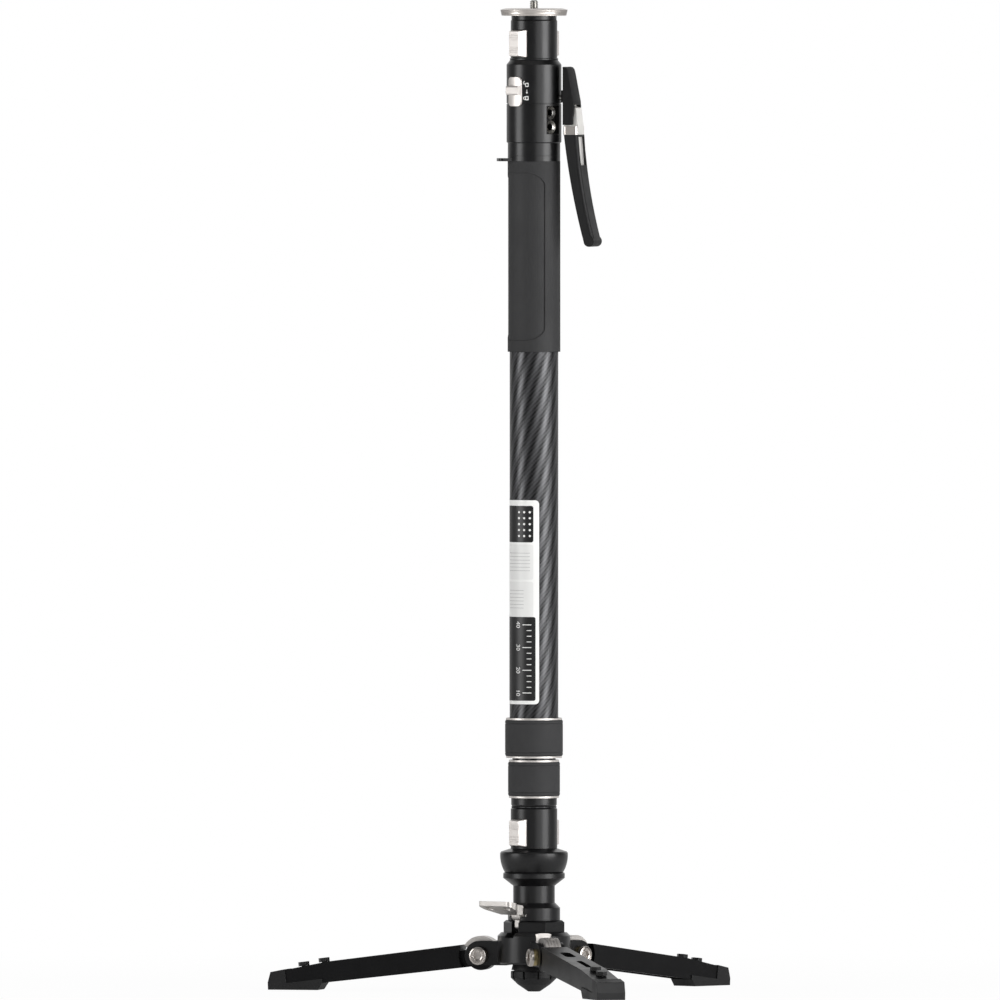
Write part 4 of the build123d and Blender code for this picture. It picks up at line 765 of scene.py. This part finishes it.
def makeShroud():
    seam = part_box("lever_housing")[1].z / mm - shroud["riseOverSeam"]
    half = shroud["half"]
    bm = sideSolid(shroud["outline"], half, seam)
    rim = [e for e in bm.edges if abs(abs(e.verts[0].co.y + e.verts[1].co.y) - 2 * half) < shroud["rimSlack"]]
    rim = [e for e in rim if max(v.co.x for v in e.verts) > shroud["rimFrom"]]
    bmesh.ops.bevel(
        bm, geom=rim, offset=shroud["edgeSoft"], segments=shroud["edgeSteps"], profile=0.5, affect="EDGES"
    )
    piece = heldObject("leverShroud", bm)
    slotForm = heldObject("slotForm", sideSolid(shroud["slotOutline"], shroud["slotHalf"], seam))
    cutBy(piece, slotForm, "DIFFERENCE")
    footForm = heldObject("footForm", sideSolid(shroud["footOutline"], shroud["footHalf"], seam))
    cutBy(piece, footForm, "UNION")
    bore = bmesh.new()
    radius = shroud["pinBore"]
    place = Matrix.Translation((shroud["pinPlace"], 0, seam + shroud["pinHeight"]))
    bmesh.ops.create_cone(
        bore, cap_ends=True, segments=shroud["pinSteps"], radius1=radius, radius2=radius,
        depth=shroud["pinDeep"], matrix=place @ Matrix.Rotation(math.radians(90), 4, "Y"),
    )
    cutBy(piece, heldObject("boreForm", bore), "DIFFERENCE")
    turn = Matrix.Rotation(math.radians(shroud["turn"]), 4, "Z")
    piece.data.transform(Matrix.Scale(mm, 4) @ turn)
    smoothen(piece.data)
    dress(piece, dullNylon, "section_1")
    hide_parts("lever_housing")


makeShroud()
print("lever housing made")

# the legs' pivot bolts: a button head with a ring groove and a hexagon socket at both ends;
# places are (distance from the bolt's line, distance back from the head's end)
bolts = {
    "steps": 96, "halfLength": 16.2, "socket": 3.3, "socketDeep": 2.2, "socketRim": 0.4,
    "headOutline": [
        (3.75, 0.0), (4.35, 0.0), (4.5, 0.45), (5.1, 0.45), (5.25, 0.0), (5.75, 0.08), (6.25, 0.4),
        (6.55, 1.0), (6.6, 1.6), (6.6, 3.0), (3.0, 3.0),
    ],
}


def makeBolts():
    half = bolts["halfLength"]
    socket = [(bolts["socket"], bolts["socketDeep"]), (bolts["socket"], bolts["socketRim"])]
    end = [(r, half - back) for r, back in socket + bolts["headOutline"]]
    profile = end + [(r, -y) for r, y in reversed(end)]
    bm = bmesh.new()
    for joint in frame["joints"]:
        if not joint["name"].startswith("leg_"):
            continue
        along = Vector(joint["axis"])
        across = along.cross(Vector((0, 0, 1)))
        middle = Vector(joint["pos_m"])
        rows = []
        for step in range(bolts["steps"]):
            angle = math.tau * step / bolts["steps"]
            outward = across * math.cos(angle) + Vector((0, 0, 1)) * math.sin(angle)
            flat = math.cos(math.pi / 6) / math.cos(angle % (math.pi / 3) - math.pi / 6)  # a hexagon's reach
            ring = []
            for r, y in profile:
                spread = r * flat if r == bolts["socket"] else r
                ring.append(bm.verts.new(middle + (outward * spread + along * y) * mm))
            rows.append(ring)
        for step in range(bolts["steps"]):
            here = rows[step]
            there = rows[(step + 1) % bolts["steps"]]
            for k in range(len(profile) - 1):
                bm.faces.new((here[k], there[k], there[k + 1], here[k + 1]))
        bm.faces.new([row[0] for row in rows])
        bm.faces.new([row[-1] for row in rows])
    bmesh.ops.recalc_face_normals(bm, faces=bm.faces[:])
    piece = heldObject("pivotBoltHeads", bm)
    smoothen(piece.data)
    dress(piece, bareAluminium, "base")
    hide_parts("pivot_bolts")


makeBolts()
print("bolts made")

# studio: pale floor, white surround, soft lamps each side and one overhead; the camera stands so that
# the mast's axis and the ground fall on the photograph's pixels
studio = {
    "floorSize": 300.0, "floorLow": 0.0002, "floorColour": "#f4f4f4", "floorRoughness": 0.8,
    "glowNear": 0.96, "mirrorShare": 0.3, "nearRadius": 0.2, "farRadius": 0.9,
    "skyFront": 0.06, "skyBack": 0.95, "skyFrom": 0.45, "skyTo": 0.8,
    "viewTurn": 43.6, "viewTilt": 1.25, "distance": 30.0, "sensor": 36, "frameWidth": 0.74,
    "axisPixel": 534, "groundPixel": 991.5, "middlePixel": 500, "pixels": 1000, "lampAim": 0.37,
}
lamps = {
    "rightSoftbox": {"turn": 59, "distance": 2.4, "height": 0.6, "width": 1.3, "tall": 2.0, "power": 58},
    "rightFill": {"turn": 30, "distance": 2.4, "height": 0.6, "width": 1.7, "tall": 2.0, "power": 20},
    "leftSoftbox": {"turn": -67, "distance": 2.4, "height": 0.6, "width": 1.1, "tall": 2.0, "power": 36},
    "overhead": {"turn": 10, "distance": 0.8, "height": 2.6, "width": 1.8, "tall": 1.8, "power": 5},
}
viewAngle = math.radians(studio["viewTurn"])
viewTilt = math.radians(studio["viewTilt"])
levelShare = math.cos(viewTilt)
towardsCamera = Vector((
    math.sin(viewAngle) * levelShare, -math.cos(viewAngle) * levelShare, math.sin(viewTilt),
))
cameraRight = Vector((math.cos(viewAngle), math.sin(viewAngle), 0))


def makeFloor():  # white to the camera, and dimmer in what mirrors it
    bm = bmesh.new()
    half = studio["floorSize"] / 2
    corners = ((-half, -half), (half, -half), (half, half), (-half, half))
    bm.faces.new([bm.verts.new((x, y, -studio["floorLow"])) for x, y in corners])
    floor = heldObject("studioFloor", bm)
    material, tree, shader = startMaterial(
        "palePaper", {"colour": studio["floorColour"], "roughness": studio["floorRoughness"]}
    )
    path = addNode(tree, "LightPath", {}, {})
    glow = addNode(tree, "Emission", {"Color": (1, 1, 1, 1), "Strength": 1.0}, {})
    away = addNode(tree, "VectorMath", {"operation": "LENGTH"}, {0: objectPlace(tree)})
    fade = addNode(
        tree, "MapRange",
        {"From Min": studio["nearRadius"], "From Max": studio["farRadius"], "To Min": studio["glowNear"]},
        {"Value": away.outputs["Value"]},
    )
    mirrored = addNode(
        tree, "Math", {"operation": "MAXIMUM"},
        {0: path.outputs["Is Glossy Ray"], 1: path.outputs["Is Transmission Ray"]},
    )
    dimmed = addNode(
        tree, "Math", {"operation": "MULTIPLY", 1: studio["mirrorShare"]}, {0: mirrored.outputs[0]}
    )
    seen = addNode(
        tree, "Math", {"operation": "MAXIMUM"}, {0: path.outputs["Is Camera Ray"], 1: dimmed.outputs[0]}
    )
    share = addNode(tree, "Math", {"operation": "MULTIPLY"}, {0: seen.outputs[0], 1: fade.outputs[0]})
    mixed = addNode(tree, "MixShader", {}, {0: share.outputs[0], 1: shader.outputs[0], 2: glow.outputs[0]})
    tree.links.new(mixed.outputs[0], tree.nodes["Material Output"].inputs["Surface"])
    floor.data.materials.append(material)


def makeSurround():  # white where the camera looks, and darker on the camera's side for the object
    world = bpy.data.worlds.new("studioSurround")
    bpy.context.scene.world = world
    world.use_nodes = True
    tree = world.node_tree
    background = tree.nodes["Background"]
    place = addNode(tree, "TexCoord", {}, {}).outputs["Generated"]
    away = addNode(tree, "VectorMath", {"operation": "DOT_PRODUCT", 1: tuple(-towardsCamera)}, {0: place})
    span = {"From Min": studio["skyFrom"], "From Max": studio["skyTo"]}
    shade = addNode(
        tree, "MapRange", dict(span, **{"To Min": studio["skyFront"], "To Max": studio["skyBack"]}),
        {"Value": away.outputs["Value"]},
    )
    path = addNode(tree, "LightPath", {}, {})
    seen = addNode(
        tree, "Math", {"operation": "MAXIMUM"}, {0: path.outputs["Is Camera Ray"], 1: shade.outputs[0]}
    )
    tree.links.new(seen.outputs[0], background.inputs["Strength"])
    background.inputs["Color"].default_value = (1, 1, 1, 1)


def makeLamps():
    target = Vector((0, 0, studio["lampAim"]))
    for name, lamp in lamps.items():
        light = bpy.data.lights.new(name, "AREA")
        light.shape = "RECTANGLE"
        light.size = lamp["width"]
        light.size_y = lamp["tall"]
        light.energy = lamp["power"]
        holder = bpy.data.objects.new(name, light)
        angle = math.radians(studio["viewTurn"] - 90 + lamp["turn"])
        out = lamp["distance"]
        holder.location = (out * math.cos(angle), out * math.sin(angle), lamp["height"])
        holder.rotation_euler = (target - holder.location).to_track_quat("-Z", "Y").to_euler()
        bpy.context.scene.collection.objects.link(holder)


def makeCamera():
    camera = bpy.data.cameras.new("photoCamera")
    camera.sensor_width = studio["sensor"]
    camera.lens = studio["sensor"] * studio["distance"] / studio["frameWidth"]
    camera.clip_end = 4 * studio["distance"]
    pixel = studio["frameWidth"] / studio["pixels"]
    target = cameraRight * (studio["middlePixel"] - studio["axisPixel"]) * pixel
    target.z = (studio["groundPixel"] - studio["middlePixel"]) * pixel / levelShare
    holder = bpy.data.objects.new("photoCamera", camera)
    holder.location = target + towardsCamera * studio["distance"]
    holder.rotation_euler = towardsCamera.to_track_quat("Z", "Y").to_euler()
    bpy.context.scene.collection.objects.link(holder)
    bpy.context.scene.camera = holder


makeFloor()
makeSurround()
makeLamps()
makeCamera()
bpy.context.scene.view_settings.view_transform = "Standard"
print("studio made")
